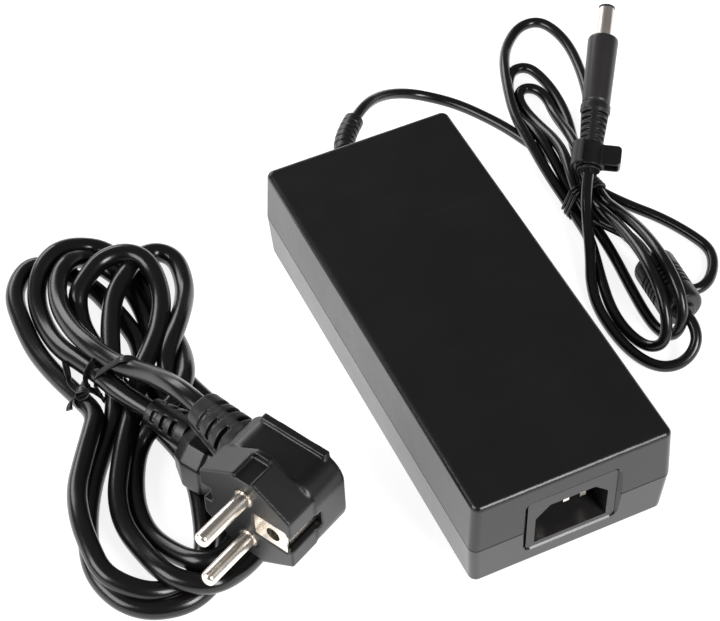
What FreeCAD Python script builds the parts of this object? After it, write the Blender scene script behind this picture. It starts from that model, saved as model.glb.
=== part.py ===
import FreeCAD, Part
import math
import os

# Laptop power adapter: brick with its inlet and inside parts, output cord and mains lead.
# Millimetres, +Z up. The origin is the middle of the brick's underside: the brick's long
# axis is Y, its mains inlet faces -Y and its output cord leaves at +Y.

# Brick
case_width = 67.5
case_length = 152.0
case_height = 38.0
parting_height = 18.0
lower_draft = 1.1
upper_draft = 0.8
case_corner = 2.6
case_edge = 1.8
inner_corner = 1.0
case_wall = 2.4
groove_height = 0.45
groove_depth = 0.4
lip_height = 1.6
lip_thickness = 0.9
lip_clearance = 0.15

# Mains inlet
frame_half_width = 16.7
frame_bottom = 5.9
frame_top = 31.6
frame_corner = 3.0
frame_slope = 1.5
frame_lead_in = 3.0
inlet_half_width = 15.0
inlet_bottom = 7.5
inlet_top = 30.1
inlet_corner = 1.4
inlet_gap = 0.25
inlet_recess = 1.0
inlet_depth = 18.7
inlet_flange = 1.5
inlet_flange_margin = 2.4
cavity_width = 24.4
cavity_height = 16.4
cavity_bottom = 9.2
cavity_chamfer = 4.6
cavity_depth = 16.2
blade_width = 2.0
blade_height = 4.0
blade_spacing = 7.0
power_blade_height = 15.7
earth_blade_height = 19.7
power_blade_setback = 5.4
earth_blade_setback = 3.4
blade_fit = 0.05
tail_length = 5.6
tail_thickness = 1.6

# Board and what it stands on
board_underside = 6.0
board_thickness = 1.6
board_margin = 0.9
board_front_gap = 2.3
board_rear_gap = 2.6
post_radius = 2.5
post_inset = 4.2
spreader_thickness = 0.8
spreader_half_width = 21.0
spreader_end_gap = 12.0
sheet_thickness = 0.4
column_gap = 5.6
part_gap = 1.5
first_row_gap = 6.0

# Parts on the board; their depths along it are for a board of drawn_board_length
drawn_board_length = 125.0
x_capacitor_size = (18.0, 8.5, 15.0)
choke_radius = 10.0
choke_bore = 5.4
choke_height = 8.5
choke_wire = 1.4
choke_fit = 0.2
winding_sweep = 140.0
bulk_radius = 10.5
bulk_length = 36.0
transformer_side_gap = 0.55
transformer_depth = 24.0
transformer_top_gap = 3.2
inductor_side_gap = 2.55
inductor_depth = 22.0
inductor_top_gap = 5.2
core_plate = 4.2
core_leg = 3.0
winding_room = 4.6
winding_fit = 0.3
fuse_radius = 2.6
fuse_length = 20.0
thermistor_radius = 5.5
thermistor_thickness = 4.5
sink_thickness = 2.0
sink_flange = 8.0
sink_edge_gap = 3.0
package_depth = 4.6
package_width = 10.0
package_height = 15.5
package_count = 2
bridge_width = 15.0
bridge_height = 16.0
secondary_sink_length = 22.0
output_can_gap = 0.75
output_can_side_gap = 1.05
output_can_height = 20.0
output_can_count = 3
y_capacitor_radius = 4.2
y_capacitor_thickness = 3.6
y_capacitor_count = 2
optocoupler_size = (6.5, 4.6, 3.6)
chip_size = (10.0, 4.0, 1.6)
chip_left = -14.0
chip_setback = 34.0
wire_radius = 1.1
wire_spacing = 1.3
wire_drop = 3.6

# Output strain relief
relief_height = 19.0
relief_hole_clearance = 0.2
relief_flange_gap = 0.4
relief_neck_radius = 4.1
relief_flange_radius = 5.8
relief_flange_thickness = 1.5
relief_core_radius = 2.9
relief_rib_radius = 3.7
relief_tip_radius = 3.5
relief_rib_width = 1.9
relief_rib_count = 9
relief_first_gap = 1.6
relief_collar_length = 3.0
relief_bend_ease = 3.2
relief_path = [(0.0, 73.4, 19.0), (0.0, 85.5, 19.0), (4.4, 95.6, 18.7), (11.3, 102.2, 17.9)]

# Output cord
cord_diameter = 3.8
output_route = [
    (11.3, 102.2, 17.9), (17.6, 108.2, 17.2), (28.5, 116.0, 11.0), (39.2, 118.4, 5.4), (48.2, 114.9, 2.3),
    (55.0, 107.9, 1.95), (60.5, 98.9, 1.95), (64.9, 90.2, 1.95), (68.5, 80.5, 1.95),
]
ferrite_rear_route = [
    (74.5, 6.2, 11.2), (75.0, 12.4, 10.9), (75.6, 19.2, 9.3), (75.4, 26.2, 7.4), (74.2, 33.0, 6.3),
]
ferrite_front_route = [
    (73.2, -19.2, 11.2), (73.5, -24.0, 10.5), (72.4, -28.2, 8.0), (68.8, -30.7, 4.9), (63.8, -31.0, 2.8),
    (58.6, -28.4, 2.0),
]
plug_route = [
    (60.4, 20.4, 2.6), (63.3, 27.2, 5.2), (66.2, 33.9, 8.9), (69.2, 40.5, 13.3), (73.4, 46.7, 16.2),
]
hank_layer = 3.9
upper_hank_centre = (87.2, 95.0)
upper_hank_half_length = 43.5
upper_hank_half_width = 18.5
upper_hank_heading = 72.0
upper_hank_height = 7.6
waist_centre = (72.6, 46.0)
waist_heading = 76.0
waist_half_length = 17.0
waist_half_width = 7.0
waist_height = 9.6
inner_loop_centre = (65.6, -0.5)
inner_loop_half_length = 32.5
inner_loop_half_width = 12.5
inner_loop_heading = 87.0
outer_loop_centre = (88.0, 17.0)
outer_loop_half_length = 28.0
outer_loop_half_width = 13.0
outer_loop_heading = 112.0
wrap_from = 12.0
wrap_to = 146.0
wrap_gap = 0.2
wrap_margin = 3.0
tie_offset = -4.5
tie_width = 3.4
tie_thickness = 1.3
tie_gap = 0.1
tie_room = 0.1
tie_knot_radius = 1.5
tie_knot_length = 7.0

# Ferrite on the output cord
ferrite_front = (73.2, -19.2, 11.2)
ferrite_rear = (74.5, 6.2, 11.2)
ferrite_cover_radius = 7.2
ferrite_cover_wall = 1.2
ferrite_cover_edge = 2.2
ferrite_neck_radius = 3.6
ferrite_neck_length = 1.6
ferrite_core_bore = 2.6
ferrite_end_wall = 1.6
ferrite_rib_count = 5
ferrite_rib_width = 0.9
ferrite_rib_pitch = 1.9
ferrite_rib_depth = 0.5

# Output plug
plug_rear = (73.4, 46.7, 16.2)
plug_heading = (0.521, 0.774, 0.358)
plug_neck_radius = 3.1
neck_lip_radius = 3.9
neck_lip_length = 0.9
clip_room = 10.0
plug_relief_length = 11.8
plug_relief_rear_radius = 4.0
plug_relief_front_radius = 4.8
plug_ring_radius = 5.15
plug_ring_length = 2.5
plug_groove_length = 0.8
plug_groove_radius = 4.5
grip_rear_radius = 4.6
grip_front_radius = 5.3
grip_length = 25.2
grip_chamfer = 1.8
relief_slot_rows = 5
relief_slot_margin = 0.8
relief_slot_width = 1.1
relief_slot_depth = 1.1
relief_slot_web = 2.2
barrel_radius = 2.75
barrel_wall = 0.35
barrel_length = 12.2
barrel_root = 8.0
barrel_root_radius = 3.0
barrel_fit = 0.05
insulator_wall = 0.35
insulator_rim = 0.6
inner_contact_wall = 0.3
plug_bore_depth = 11.0
centre_pin_radius = 0.5
centre_pin_setback = 1.5

# Cord clip on the plug's neck
clip_clearance = 0.3
clip_wall = 1.2
clip_opening = 70.0
strap_gap = 0.8
strap_thickness = 1.0
strap_from = -35.0
strap_to = 68.0
strap_bridge = 16.0
tab_reach = 10.6
tab_corner = 1.6
tab_half_height = 3.0
tab_wall = 0.9
tab_width = 7.2

# Mains lead
mains_diameter = 6.5
plug_face = (-92.6, -48.7, 37.8)
plug_backward = (0.896, 0.445, 0.0)
plug_side = (-0.444, 0.895, -0.030)
disc_radius = 19.5
disc_depth = 11.0
facet_distance = 17.6
facet_angle = 57.0
side_flat_distance = 16.8
block_depth = 13.5
block_half_width = 17.3
block_half_height = 14.0
block_corner = 8.0
block_edge = 1.2
ridge_width = 2.5
ridge_height = 1.2
ridge_root = 2.0
ridge_half_length = 12.0
guide_width = 6.6
guide_depth = 2.2
guide_end_gap = 2.0
earth_clip_recess_width = 6.4
earth_clip_recess_depth = 3.6
earth_clip_width = 4.6
earth_clip_thickness = 0.7
earth_clip_stand = 0.9
earth_clip_foot = 2.2
earth_clip_front = 1.6
pin_radius = 2.4
pin_length = 19.0
pin_root = 12.0
pin_dome_share = 0.6
pin_fit = 0.05
pin_half_spacing = 9.5
pin_collar_radius = 3.1
pin_collar_length = 0.6
earth_hole_radius = 2.45
earth_hole_offset = 9.8
earth_hole_depth = 16.0
earth_sleeve_wall = 0.5
earth_plate_inner = 6.8
earth_plate_outer = 5.2
earth_plate_half_height = 4.6
earth_plate_thickness = 0.7
earth_plate_sink = 0.3
mains_boot_setback = 18.5
mains_boot_start = 14.0
mains_boot_lean = 10.3
mains_boot_length = 22.4
mains_boot_root_radius = 8.8
mains_boot_tip_radius = 6.2
mains_boot_slots = (7.1, 12.0, 16.6)
boot_slot_width = 1.7
boot_slot_depth = 1.5
boot_slot_web = 3.4

connector_start = (-98.1, 16.2, 15.2)
connector_heading = (0.482, -0.876, 0.0)
connector_boot_length = 16.4
connector_boot_tip_radius = 4.6
connector_boot_root_radius = 6.5
connector_boot_slots = (3.6, 7.6, 11.6)
connector_length = 32.0
connector_fit = 0.35
connector_nose = 20.0
connector_shoulder = 0.5
connector_taper = 5.0
connector_tip_inset = 2.6
contact_slot_width = 2.6
contact_slot_height = 4.8
contact_depth = 15.0
contact_wall = 0.35
contact_clearance = 0.1
contact_setback = 1.0

plug_stretch_route = [
    (-88.45, -6.4, 36.7), (-90.7, 1.5, 36.45), (-93.9, 9.4, 34.8), (-97.2, 17.1, 31.6), (-100.6, 24.3, 27.8),
    (-103.5, 31.0, 23.8), (-105.5, 37.7, 20.3),
]
connector_stretch_route = [(-98.1, 16.2, 15.2), (-103.6, 26.2, 15.2)]
mains_layer = 6.6
mains_waist_centre = (-101.2, 32.0)
mains_waist_heading = 110.0
mains_waist_half_length = 11.5
mains_waist_half_width = 11.0
mains_waist_height = 18.9
mains_upper_centre = (-93.5, 69.0)
mains_upper_half_length = 36.0
mains_upper_half_width = 31.0
mains_upper_heading = 100.0
mains_upper_height = 13.2
mains_lower_centre = (-105.0, -15.0)
mains_lower_half_length = 37.0
mains_lower_half_width = 31.0
mains_lower_heading = 96.0
mains_side_height = 12.6
mains_side_limit = -106.0
mains_tie_offset = -2.2
mains_tie_width = 2.8


def vector(x, y, z=0.0):
    return FreeCAD.Vector(x, y, z)


def block(x0, x1, y0, y1, z0, z1):
    """A box between two corners."""
    return Part.makeBox(x1 - x0, y1 - y0, z1 - z0, vector(x0, y0, z0))


def rod(start, direction, radius, length):
    """A cylinder that starts at a point and runs along a direction."""
    return Part.makeCylinder(radius, length, vector(*start), vector(*direction))


def cone(start, direction, radius, end_radius, length):
    """A truncated cone, or a cylinder where both radii are the same."""
    if abs(radius - end_radius) < 1e-6:
        return rod(start, direction, radius, length)
    return Part.makeCone(radius, end_radius, length, vector(*start), vector(*direction))


def ring(start, direction, outer, inner, length):
    """A tube."""
    return rod(start, direction, outer, length).cut(rod(start, direction, inner, length))


def joined(*shapes):
    """One solid from shapes that touch or overlap."""
    result = shapes[0]
    for shape in shapes[1:]:
        result = result.fuse(shape)
    return result.removeSplitter()


def rounded_outline(x0, x1, y0, y1, corner, z):
    """A closed rectangle with round corners, lying at height z."""
    left, right = x0 + corner, x1 - corner
    front, back = y0 + corner, y1 - corner
    centres = [(right, back), (left, back), (left, front), (right, front)]
    edges = []
    ends = []
    for index, (x, y) in enumerate(centres):
        angles = [math.radians(90 * index + part) for part in (0, 45, 90)]
        points = [vector(x + corner * math.cos(a), y + corner * math.sin(a), z) for a in angles]
        edges.append(Part.Arc(*points).toShape())
        ends.append((points[0], points[2]))
    sides = [Part.LineSegment(ends[i][1], ends[(i + 1) % 4][0]).toShape() for i in range(4)]
    order = [edge for pair in zip(edges, sides) for edge in pair]
    return Part.Wire(order)


def centred_outline(width, length, corner, z):
    return rounded_outline(-width / 2, width / 2, -length / 2, length / 2, corner, z)


def tapered(bottom, top):
    """A solid between two outlines with straight walls."""
    return Part.makeLoft([bottom, top], True, True)


def placement(origin, forward, side):
    """The frame whose X runs forward and whose Y runs to the side; the side is made square to it."""
    x = vector(*forward).normalize()
    z = x.cross(vector(*side)).normalize()
    y = z.cross(x)
    return FreeCAD.Placement(vector(*origin), FreeCAD.Rotation(x, y, z, "XZY"))


def moved(shape, frame):
    """A copy of a shape carried from its own frame into the part's frame."""
    copy = shape.copy()
    copy.Placement = frame.multiply(copy.Placement)
    return copy


def cord_tube(name, points, diameter):
    """A round tube on straight runs joined by tangent arcs; prints its radii and its volume check."""
    corners = [vector(*point) for point in points]
    edges = []
    radii = []
    start = corners[0]
    for before, corner, after in zip(corners, corners[1:], corners[2:]):
        back = (before - corner).normalize()
        ahead = (after - corner).normalize()
        half_turn = (math.pi - back.getAngle(ahead)) / 2
        reach = 0.45 * min((before - corner).Length, (after - corner).Length)
        radius = reach / math.tan(half_turn)
        radii.append(radius)
        arc_start = corner + back * reach
        arc_end = corner + ahead * reach
        inward = (back + ahead).normalize()
        middle = corner + inward * (radius / math.cos(half_turn) - radius)
        edges.append(Part.LineSegment(start, arc_start).toShape())
        edges.append(Part.Arc(arc_start, middle, arc_end).toShape())
        start = arc_end
    edges.append(Part.LineSegment(start, corners[-1]).toShape())
    path = Part.Wire(edges)
    circle = Part.makeCircle(diameter / 2, corners[0], corners[1] - corners[0])
    tube = path.makePipeShell([Part.Wire([circle])], True, False)
    expected = math.pi * diameter ** 2 / 4 * path.Length
    print(name, "length", round(path.Length, 1), "radii", [round(r, 1) for r in radii],
          "volume ratio", round(tube.Volume / expected, 4))
    return tube


def oval(centre, half_length, half_width, heading, height):
    """An upright elliptical slab on the table."""
    curve = Part.Ellipse(vector(0, 0), half_length, half_width).toShape()
    slab = Part.Face(Part.Wire([curve])).extrude(vector(0, 0, height))
    slab.rotate(vector(0, 0), vector(0, 0, 1), heading)
    slab.translate(vector(centre[0], centre[1]))
    return slab


def turned_block(centre, heading, along, across, bottom, top, shift=0.0):
    """A box on the table, turned to a heading, with its middle shifted along that heading."""
    slab = block(shift - along, shift + along, -across, across, bottom, top)
    slab.rotate(vector(0, 0), vector(0, 0, 1), heading)
    slab.translate(vector(centre[0], centre[1]))
    return slab


def arc_band(x0, x1, inner, outer, start_angle, end_angle):
    """Part of a tube about the X axis; the angles run from +Y towards +Z."""
    sweep = end_angle - start_angle
    sector = Part.makeCylinder(outer, x1 - x0, vector(x0, 0, 0), vector(1, 0, 0), sweep)
    hollow = Part.makeCylinder(inner, x1 - x0, vector(x0, 0, 0), vector(1, 0, 0), 360)
    band = sector.cut(hollow)
    first = math.degrees(math.atan2(*reversed(sector_start(sector, outer, x0))))
    band.rotate(vector(0, 0), vector(1, 0, 0), start_angle - first)
    return band


def sector_start(sector, outer, x0):
    """Where a fresh sector's first corner lies, as y and z."""
    corners = [v.Point for v in sector.Vertexes if abs(v.Point.x - x0) < 1e-6]
    rim = [p for p in corners if abs(math.hypot(p.y, p.z) - outer) < 1e-6]
    middle = sector.CenterOfMass
    for point in rim:
        if point.y * middle.z - point.z * middle.y > 0:
            return point.y, point.z
    return rim[0].y, rim[0].z


# The case

lower_width = case_width - 2 * lower_draft
lower_length = case_length - 2 * lower_draft
upper_width = case_width - 2 * upper_draft
upper_length = case_length - 2 * upper_draft
front_face = -case_length / 2
rear_face = case_length / 2
roof_underside = case_height - case_wall


def side_edges(shape, height):
    """The edges of a shape that lie at one height."""
    return [e for e in shape.Edges if all(abs(v.Point.z - height) < 1e-6 for v in e.Vertexes)]


def inlet_frame():
    """The sloped recess in the front wall, and the hole behind it."""
    outer = rounded_outline(-frame_half_width, frame_half_width, frame_bottom, frame_top, frame_corner, 0)
    inner = rounded_outline(
        -frame_half_width + frame_slope, frame_half_width - frame_slope,
        frame_bottom + frame_slope, frame_top - frame_slope, frame_corner - frame_slope / 2, frame_slope)
    lead_in = rounded_outline(-frame_half_width, frame_half_width, frame_bottom, frame_top, frame_corner,
                              -frame_lead_in)
    recess = joined(tapered(lead_in, outer), tapered(outer, inner))
    recess.rotate(vector(0, 0), vector(1, 0, 0), 90)
    recess = recess.mirror(vector(0, 0), vector(0, 1, 0))
    recess.translate(vector(0, front_face, 0))
    half_width = inlet_half_width + inlet_gap
    hole = block(-half_width, half_width, front_face - 1, front_face + 2 * case_wall,
                 inlet_bottom - inlet_gap, inlet_top + inlet_gap)
    return joined(recess, hole)


def relief_hole():
    start = (0, rear_face - 2 * case_wall, relief_height)
    return rod(start, (0, 1, 0), relief_neck_radius + relief_hole_clearance, 4 * case_wall)


def lower_case():
    outer = tapered(centred_outline(lower_width, lower_length, case_corner, 0),
                    centred_outline(case_width, case_length, case_corner, parting_height))
    outer = outer.makeFillet(case_edge, side_edges(outer, 0))
    lip_top = parting_height + lip_height
    hollow = tapered(
        centred_outline(lower_width - 2 * case_wall, lower_length - 2 * case_wall, inner_corner, case_wall),
        centred_outline(case_width - 2 * case_wall, case_length - 2 * case_wall, inner_corner, lip_top))
    lip_inset = 2 * (case_wall - lip_thickness)
    lip_bottom = parting_height - lip_height
    lip = tapered(
        centred_outline(case_width - lip_inset, case_length - lip_inset, inner_corner, lip_bottom),
        centred_outline(case_width - lip_inset, case_length - lip_inset, inner_corner, lip_top))
    groove = block(-case_width, case_width, -case_length, case_length,
                   parting_height - groove_height, parting_height)
    core_width = case_width - 2 * groove_depth
    core_length = case_length - 2 * groove_depth
    groove = groove.cut(tapered(
        centred_outline(core_width, core_length, case_corner, 0),
        centred_outline(core_width, core_length, case_corner, case_height)))
    shell = joined(outer, lip).cut(hollow).cut(groove)
    post_height = board_underside - case_wall / 2
    posts = [rod((x, y, case_wall / 2), (0, 0, 1), post_radius, post_height) for x, y in post_places()]
    return joined(shell, *posts).cut(inlet_frame()).cut(relief_hole())


def upper_case():
    outer = tapered(centred_outline(case_width, case_length, case_corner, parting_height),
                    centred_outline(upper_width, upper_length, case_corner, case_height))
    outer = outer.makeFillet(case_edge, side_edges(outer, case_height))
    walls = 2 * case_wall
    hollow = tapered(
        centred_outline(case_width - walls, case_length - walls, inner_corner, parting_height),
        centred_outline(upper_width - walls, upper_length - walls, inner_corner, roof_underside))
    inset = 2 * (case_wall - lip_thickness - lip_clearance)
    rebate_top = parting_height + lip_height + lip_clearance
    rebate = tapered(
        centred_outline(case_width - inset, case_length - inset, inner_corner, parting_height),
        centred_outline(case_width - inset, case_length - inset, inner_corner, rebate_top))
    return outer.cut(hollow).cut(rebate).cut(inlet_frame()).cut(relief_hole())


# The inlet

inlet_face = front_face + inlet_recess
inlet_rear = inlet_face + inlet_depth
cavity_top = cavity_bottom + cavity_height
board_top = board_underside + board_thickness


def chamfered_outline(width, bottom, top, chamfer):
    """The inlet's outline, with its two upper corners cut off, in the plane y = 0."""
    half = width / 2
    corners = [(-half, bottom), (half, bottom), (half, top - chamfer), (half - chamfer, top),
               (-half + chamfer, top), (-half, top - chamfer), (-half, bottom)]
    return Part.Face(Part.makePolygon([vector(x, 0, z) for x, z in corners]))


def blade_places():
    """Each blade's name, place across, height and setback from the inlet's face."""
    return [
        ("inlet_line_pin", blade_spacing, power_blade_height, power_blade_setback),
        ("inlet_neutral_pin", -blade_spacing, power_blade_height, power_blade_setback),
        ("inlet_earth_pin", 0.0, earth_blade_height, earth_blade_setback),
    ]


def inlet_housing():
    body = rounded_outline(-inlet_half_width, inlet_half_width, inlet_bottom, inlet_top, inlet_corner, 0)
    body = Part.Face(body).extrude(vector(0, 0, inlet_depth))
    body.rotate(vector(0, 0), vector(1, 0, 0), 90)
    body.translate(vector(0, inlet_rear, 0))
    flange_y = front_face + case_wall + lower_draft
    margin = inlet_flange_margin
    flange = block(-inlet_half_width - margin, inlet_half_width + margin, flange_y, flange_y + inlet_flange,
                   inlet_bottom - 1, inlet_top + 1)
    cavity = chamfered_outline(cavity_width, cavity_bottom, cavity_top, cavity_chamfer)
    cavity.translate(vector(0, inlet_face, 0))
    cavity = cavity.extrude(vector(0, cavity_depth, 0))
    housing = joined(body, flange).cut(cavity)
    half_width = blade_width / 2 + blade_fit
    half_height = blade_height / 2 + blade_fit
    for name, x, z, setback in blade_places():
        slot = block(x - half_width, x + half_width, inlet_face + cavity_depth - 1, inlet_rear + 1,
                     z - half_height, z + half_height)
        housing = housing.cut(slot)
    return housing


def inlet_pin(x, z, setback):
    """A flat blade with a bevelled tip, and its tail down to the board."""
    tip = inlet_face + setback
    rear = inlet_rear + tail_length
    half = blade_height / 2
    bevel = blade_width / 2
    corners = [(tip, z - half + bevel), (tip + bevel, z - half), (rear, z - half), (rear, z + half),
               (tip + bevel, z + half), (tip, z + half - bevel), (tip, z - half + bevel)]
    face = Part.Face(Part.makePolygon([vector(x - blade_width / 2, y, height) for y, height in corners]))
    blade = face.extrude(vector(blade_width, 0, 0))
    tail = block(x - blade_width / 2, x + blade_width / 2, rear - tail_thickness, rear, board_top, z)
    return joined(blade, tail)


# Inside parts

inner_half_width = lower_width / 2 - case_wall
board_half_width = inner_half_width - board_margin
board_front = inlet_rear + board_front_gap
board_rear = rear_face - case_wall - board_rear_gap
board_length = board_rear - board_front
spreader_underside = roof_underside - spreader_thickness
room_height = spreader_underside - board_top
column_width = board_half_width - column_gap / 2
output_cans_width = column_width - output_can_side_gap - (output_can_count - 1) * output_can_gap
output_can_radius = output_cans_width / (2 * output_can_count)


def fitted(depth):
    """A depth along the board, longer or shorter as the board is."""
    return depth * board_length / drawn_board_length


def post_places():
    x = board_half_width - post_inset
    return [(side * x, y) for side in (-1, 1) for y in (board_front + post_inset, board_rear - post_inset)]


def circuit_board():
    return block(-board_half_width, board_half_width, board_front, board_rear, board_underside, board_top)


def spreader(bottom):
    half_length = case_length / 2 - spreader_end_gap
    top = bottom + spreader_thickness
    return block(-spreader_half_width, spreader_half_width, -half_length, half_length, bottom, top)


def insulation_sheet():
    bottom = case_wall + spreader_thickness
    half_length = case_length / 2 - spreader_end_gap
    top = bottom + sheet_thickness
    return block(-spreader_half_width, spreader_half_width, -half_length, half_length, bottom, top)


def choke_core(x, y):
    z = board_top + choke_wire + choke_fit
    return ring((x, y, z), (0, 0, 1), choke_radius, choke_bore, choke_height)


def choke_windings(x, y):
    """Two wound stretches of the ring, one on each side."""
    height = choke_height + 2 * (choke_wire + choke_fit)
    coils = []
    for side in (0, 180):
        outer = choke_radius + choke_fit + choke_wire
        inner = choke_bore - choke_fit - choke_wire
        wound = Part.makeCylinder(outer, height, vector(0, 0), vector(0, 0, 1), winding_sweep)
        wound = wound.cut(rod((0, 0, 0), (0, 0, 1), inner, height))
        room = ring((0, 0, choke_wire), (0, 0, 1), choke_radius + choke_fit, choke_bore - choke_fit,
                    choke_height + 2 * choke_fit)
        coil = wound.cut(room)
        coil.rotate(vector(0, 0), vector(0, 0, 1), side + 90 - winding_sweep / 2)
        coil.translate(vector(x, y, board_top))
        coils.append(coil)
    return Part.makeCompound(coils)


def wound_core(size, x, y):
    """A ferrite core with its round middle post, standing on the board, and its winding."""
    width, depth, height = size
    body = block(x - width / 2, x + width / 2, y - depth / 2, y + depth / 2, board_top, board_top + height)
    low = board_top + core_plate
    high = board_top + height - core_plate
    window = block(x - width / 2 + core_leg, x + width / 2 - core_leg, y - depth, y + depth, low, high)
    leg_face = width / 2 - core_leg
    middle = leg_face - winding_room
    post = rod((x, y, board_top + core_plate / 2), (0, 0, 1), middle, height - core_plate)
    core = joined(body.cut(window), post)
    winding = ring((x, y, low), (0, 0, 1), leg_face - winding_fit, middle + winding_fit, high - low)
    return core, winding


def heat_sink(x, y0, length):
    """An upright plate with a flange along its top against the spreader."""
    plate = block(x, x + sink_thickness, y0, y0 + length, board_top, spreader_underside)
    flange = block(x - sink_flange, x + sink_thickness, y0, y0 + length,
                   spreader_underside - sink_thickness, spreader_underside)
    return joined(plate, flange)


def against_sink(x, y0, width, height):
    return block(x - package_depth, x, y0, y0 + width, board_top, board_top + height)


def upright_disc(x, y0, radius, thickness):
    """A disc standing on a narrow foot on the board."""
    disc = rod((x, y0, board_top + radius + 1), (0, 1, 0), radius, thickness)
    foot = block(x - radius / 2, x + radius / 2, y0, y0 + thickness, board_top, board_top + radius)
    return joined(disc, foot)


def output_wires():
    """Two wires from the strain relief down to the board."""
    flange_face = rear_face - case_wall - relief_flange_gap - relief_flange_thickness
    wires = []
    for side in (-1, 1):
        x = side * wire_spacing
        points = [(x, flange_face, relief_height), (x, flange_face - wire_drop, relief_height),
                  (x, flange_face - wire_drop, board_top)]
        wires.append(cord_tube("output wire", points, 2 * wire_radius))
    return Part.makeCompound(wires)


def inside_parts():
    """The board's parts in two columns, each row starting where the one before it ends."""
    parts = {}
    left = -column_gap / 2
    right = column_gap / 2
    row = board_front + first_row_gap

    width, depth, height = x_capacitor_size
    parts["x_capacitor"] = block(left - width, left, row, row + fitted(depth), board_top, board_top + height)
    row += fitted(depth) + part_gap
    reach = choke_radius + choke_fit + choke_wire
    parts["common_mode_choke_core"] = choke_core(left - reach, row + reach)
    parts["common_mode_choke_windings"] = choke_windings(left - reach, row + reach)
    row += 2 * reach + part_gap
    bulk_axis = (left - bulk_radius, row, board_top + bulk_radius)
    parts["bulk_capacitor"] = rod(bulk_axis, (0, 1, 0), bulk_radius, fitted(bulk_length))
    row += fitted(bulk_length) + part_gap
    width = column_width - transformer_side_gap
    depth = fitted(transformer_depth)
    size = (width, depth, room_height - transformer_top_gap)
    core, winding = wound_core(size, left - width / 2, row + depth / 2)
    parts["transformer_core"] = core
    parts["transformer_winding"] = winding
    row += depth + part_gap
    discs = []
    for index in range(y_capacitor_count):
        x = left - y_capacitor_radius - index * (2 * y_capacitor_radius + part_gap)
        discs.append(upright_disc(x, row, y_capacitor_radius, y_capacitor_thickness))
    parts["y_capacitors"] = Part.makeCompound(discs)
    row += y_capacitor_thickness + part_gap
    width, depth, height = optocoupler_size
    parts["optocoupler"] = block(left - width, left, row, row + depth, board_top, board_top + height)

    row = board_front + first_row_gap
    fuse_start = (right + fuse_radius, row, board_top + fuse_radius)
    parts["mains_fuse"] = rod(fuse_start, (0, 1, 0), fuse_radius, fitted(fuse_length))
    x = right + 2 * fuse_radius + part_gap + thermistor_radius
    thermistor_start = row + fitted(fuse_length) / 2
    parts["thermistor"] = upright_disc(x, thermistor_start, thermistor_radius, thermistor_thickness)
    row += fitted(fuse_length) + part_gap
    width = column_width - inductor_side_gap
    depth = fitted(inductor_depth)
    size = (width, depth, room_height - inductor_top_gap)
    core, winding = wound_core(size, right + width / 2, row + depth / 2)
    parts["boost_inductor_core"] = core
    parts["boost_inductor_winding"] = winding
    row += depth + part_gap
    sink_x = board_half_width - sink_edge_gap - sink_thickness
    bridge = fitted(bridge_width)
    package = fitted(package_width)
    length = bridge + package_count * (package + part_gap)
    parts["primary_heat_sink"] = heat_sink(sink_x, row, length)
    parts["bridge_rectifier"] = against_sink(sink_x, row, bridge, bridge_height)
    packages = []
    for index in range(package_count):
        start = row + bridge + part_gap + index * (package + part_gap)
        packages.append(against_sink(sink_x, start, package, package_height))
    parts["primary_transistors"] = Part.makeCompound(packages)
    row += length + part_gap
    length = fitted(secondary_sink_length)
    parts["secondary_heat_sink"] = heat_sink(sink_x, row, length)
    parts["output_rectifier"] = against_sink(sink_x, row + (length - package) / 2, package, package_height)
    row += length + part_gap
    cans = []
    for index in range(output_can_count):
        x = right + output_can_radius + index * (2 * output_can_radius + output_can_gap)
        place = (x, row + output_can_radius, board_top)
        cans.append(rod(place, (0, 0, 1), output_can_radius, output_can_height))
    parts["output_capacitors"] = Part.makeCompound(cans)

    width, depth, height = chip_size
    chip_front = board_front + fitted(chip_setback)
    parts["control_chip"] = block(chip_left, chip_left + width, chip_front, chip_front + depth,
                                  board_underside - height, board_underside)
    return parts


# The output cord

def output_strain_relief():
    """The flange inside the wall, the neck through it, and the bent ribbed boot outside."""
    flange_face = rear_face - case_wall - relief_flange_gap - relief_flange_thickness
    start = (0, flange_face, relief_height)
    flange = rod(start, (0, 1, 0), relief_flange_radius, relief_flange_thickness)
    neck = rod(start, (0, 1, 0), relief_neck_radius, rear_face - flange_face + relief_rib_width)
    path = [vector(*point) for point in relief_path]
    core = cord_tube("strain relief core", relief_path, 2 * relief_core_radius)
    lengths = [(b - a).Length for a, b in zip(path, path[1:])]
    total = sum(lengths)
    first = rear_face - relief_path[0][1]
    last = total - relief_collar_length
    pieces = [flange, neck, core]
    pitch = (last - first - relief_first_gap) / relief_rib_count
    for index in range(relief_rib_count):
        distance = first + relief_first_gap + (index + 0.5) * pitch
        centre, direction = point_along(path, lengths, distance)
        radius = relief_rib_radius + (relief_tip_radius - relief_rib_radius) * index / relief_rib_count
        rib_start = centre - direction * (relief_rib_width / 2)
        pieces.append(Part.makeCylinder(radius, relief_rib_width, rib_start, direction))
    end_direction = (path[-1] - path[-2]).normalize()
    collar_start = path[-1] - end_direction * relief_collar_length
    pieces.append(Part.makeCylinder(relief_tip_radius, relief_collar_length, collar_start, end_direction))
    return joined(*pieces)


def point_along(path, lengths, distance):
    """The place and direction at a distance along a bent path, with its corners eased."""
    def raw(value):
        value = min(max(value, 0.0), sum(lengths) - 1e-6)
        for start, end, length in zip(path, path[1:], lengths):
            if value <= length:
                return start + (end - start) * (value / length)
            value -= length
        return path[-1]
    before = raw(distance - relief_bend_ease)
    after = raw(distance + relief_bend_ease)
    place = raw(distance) * 0.5 + (before + after) * 0.25
    return place, (after - before).normalize()


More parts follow.
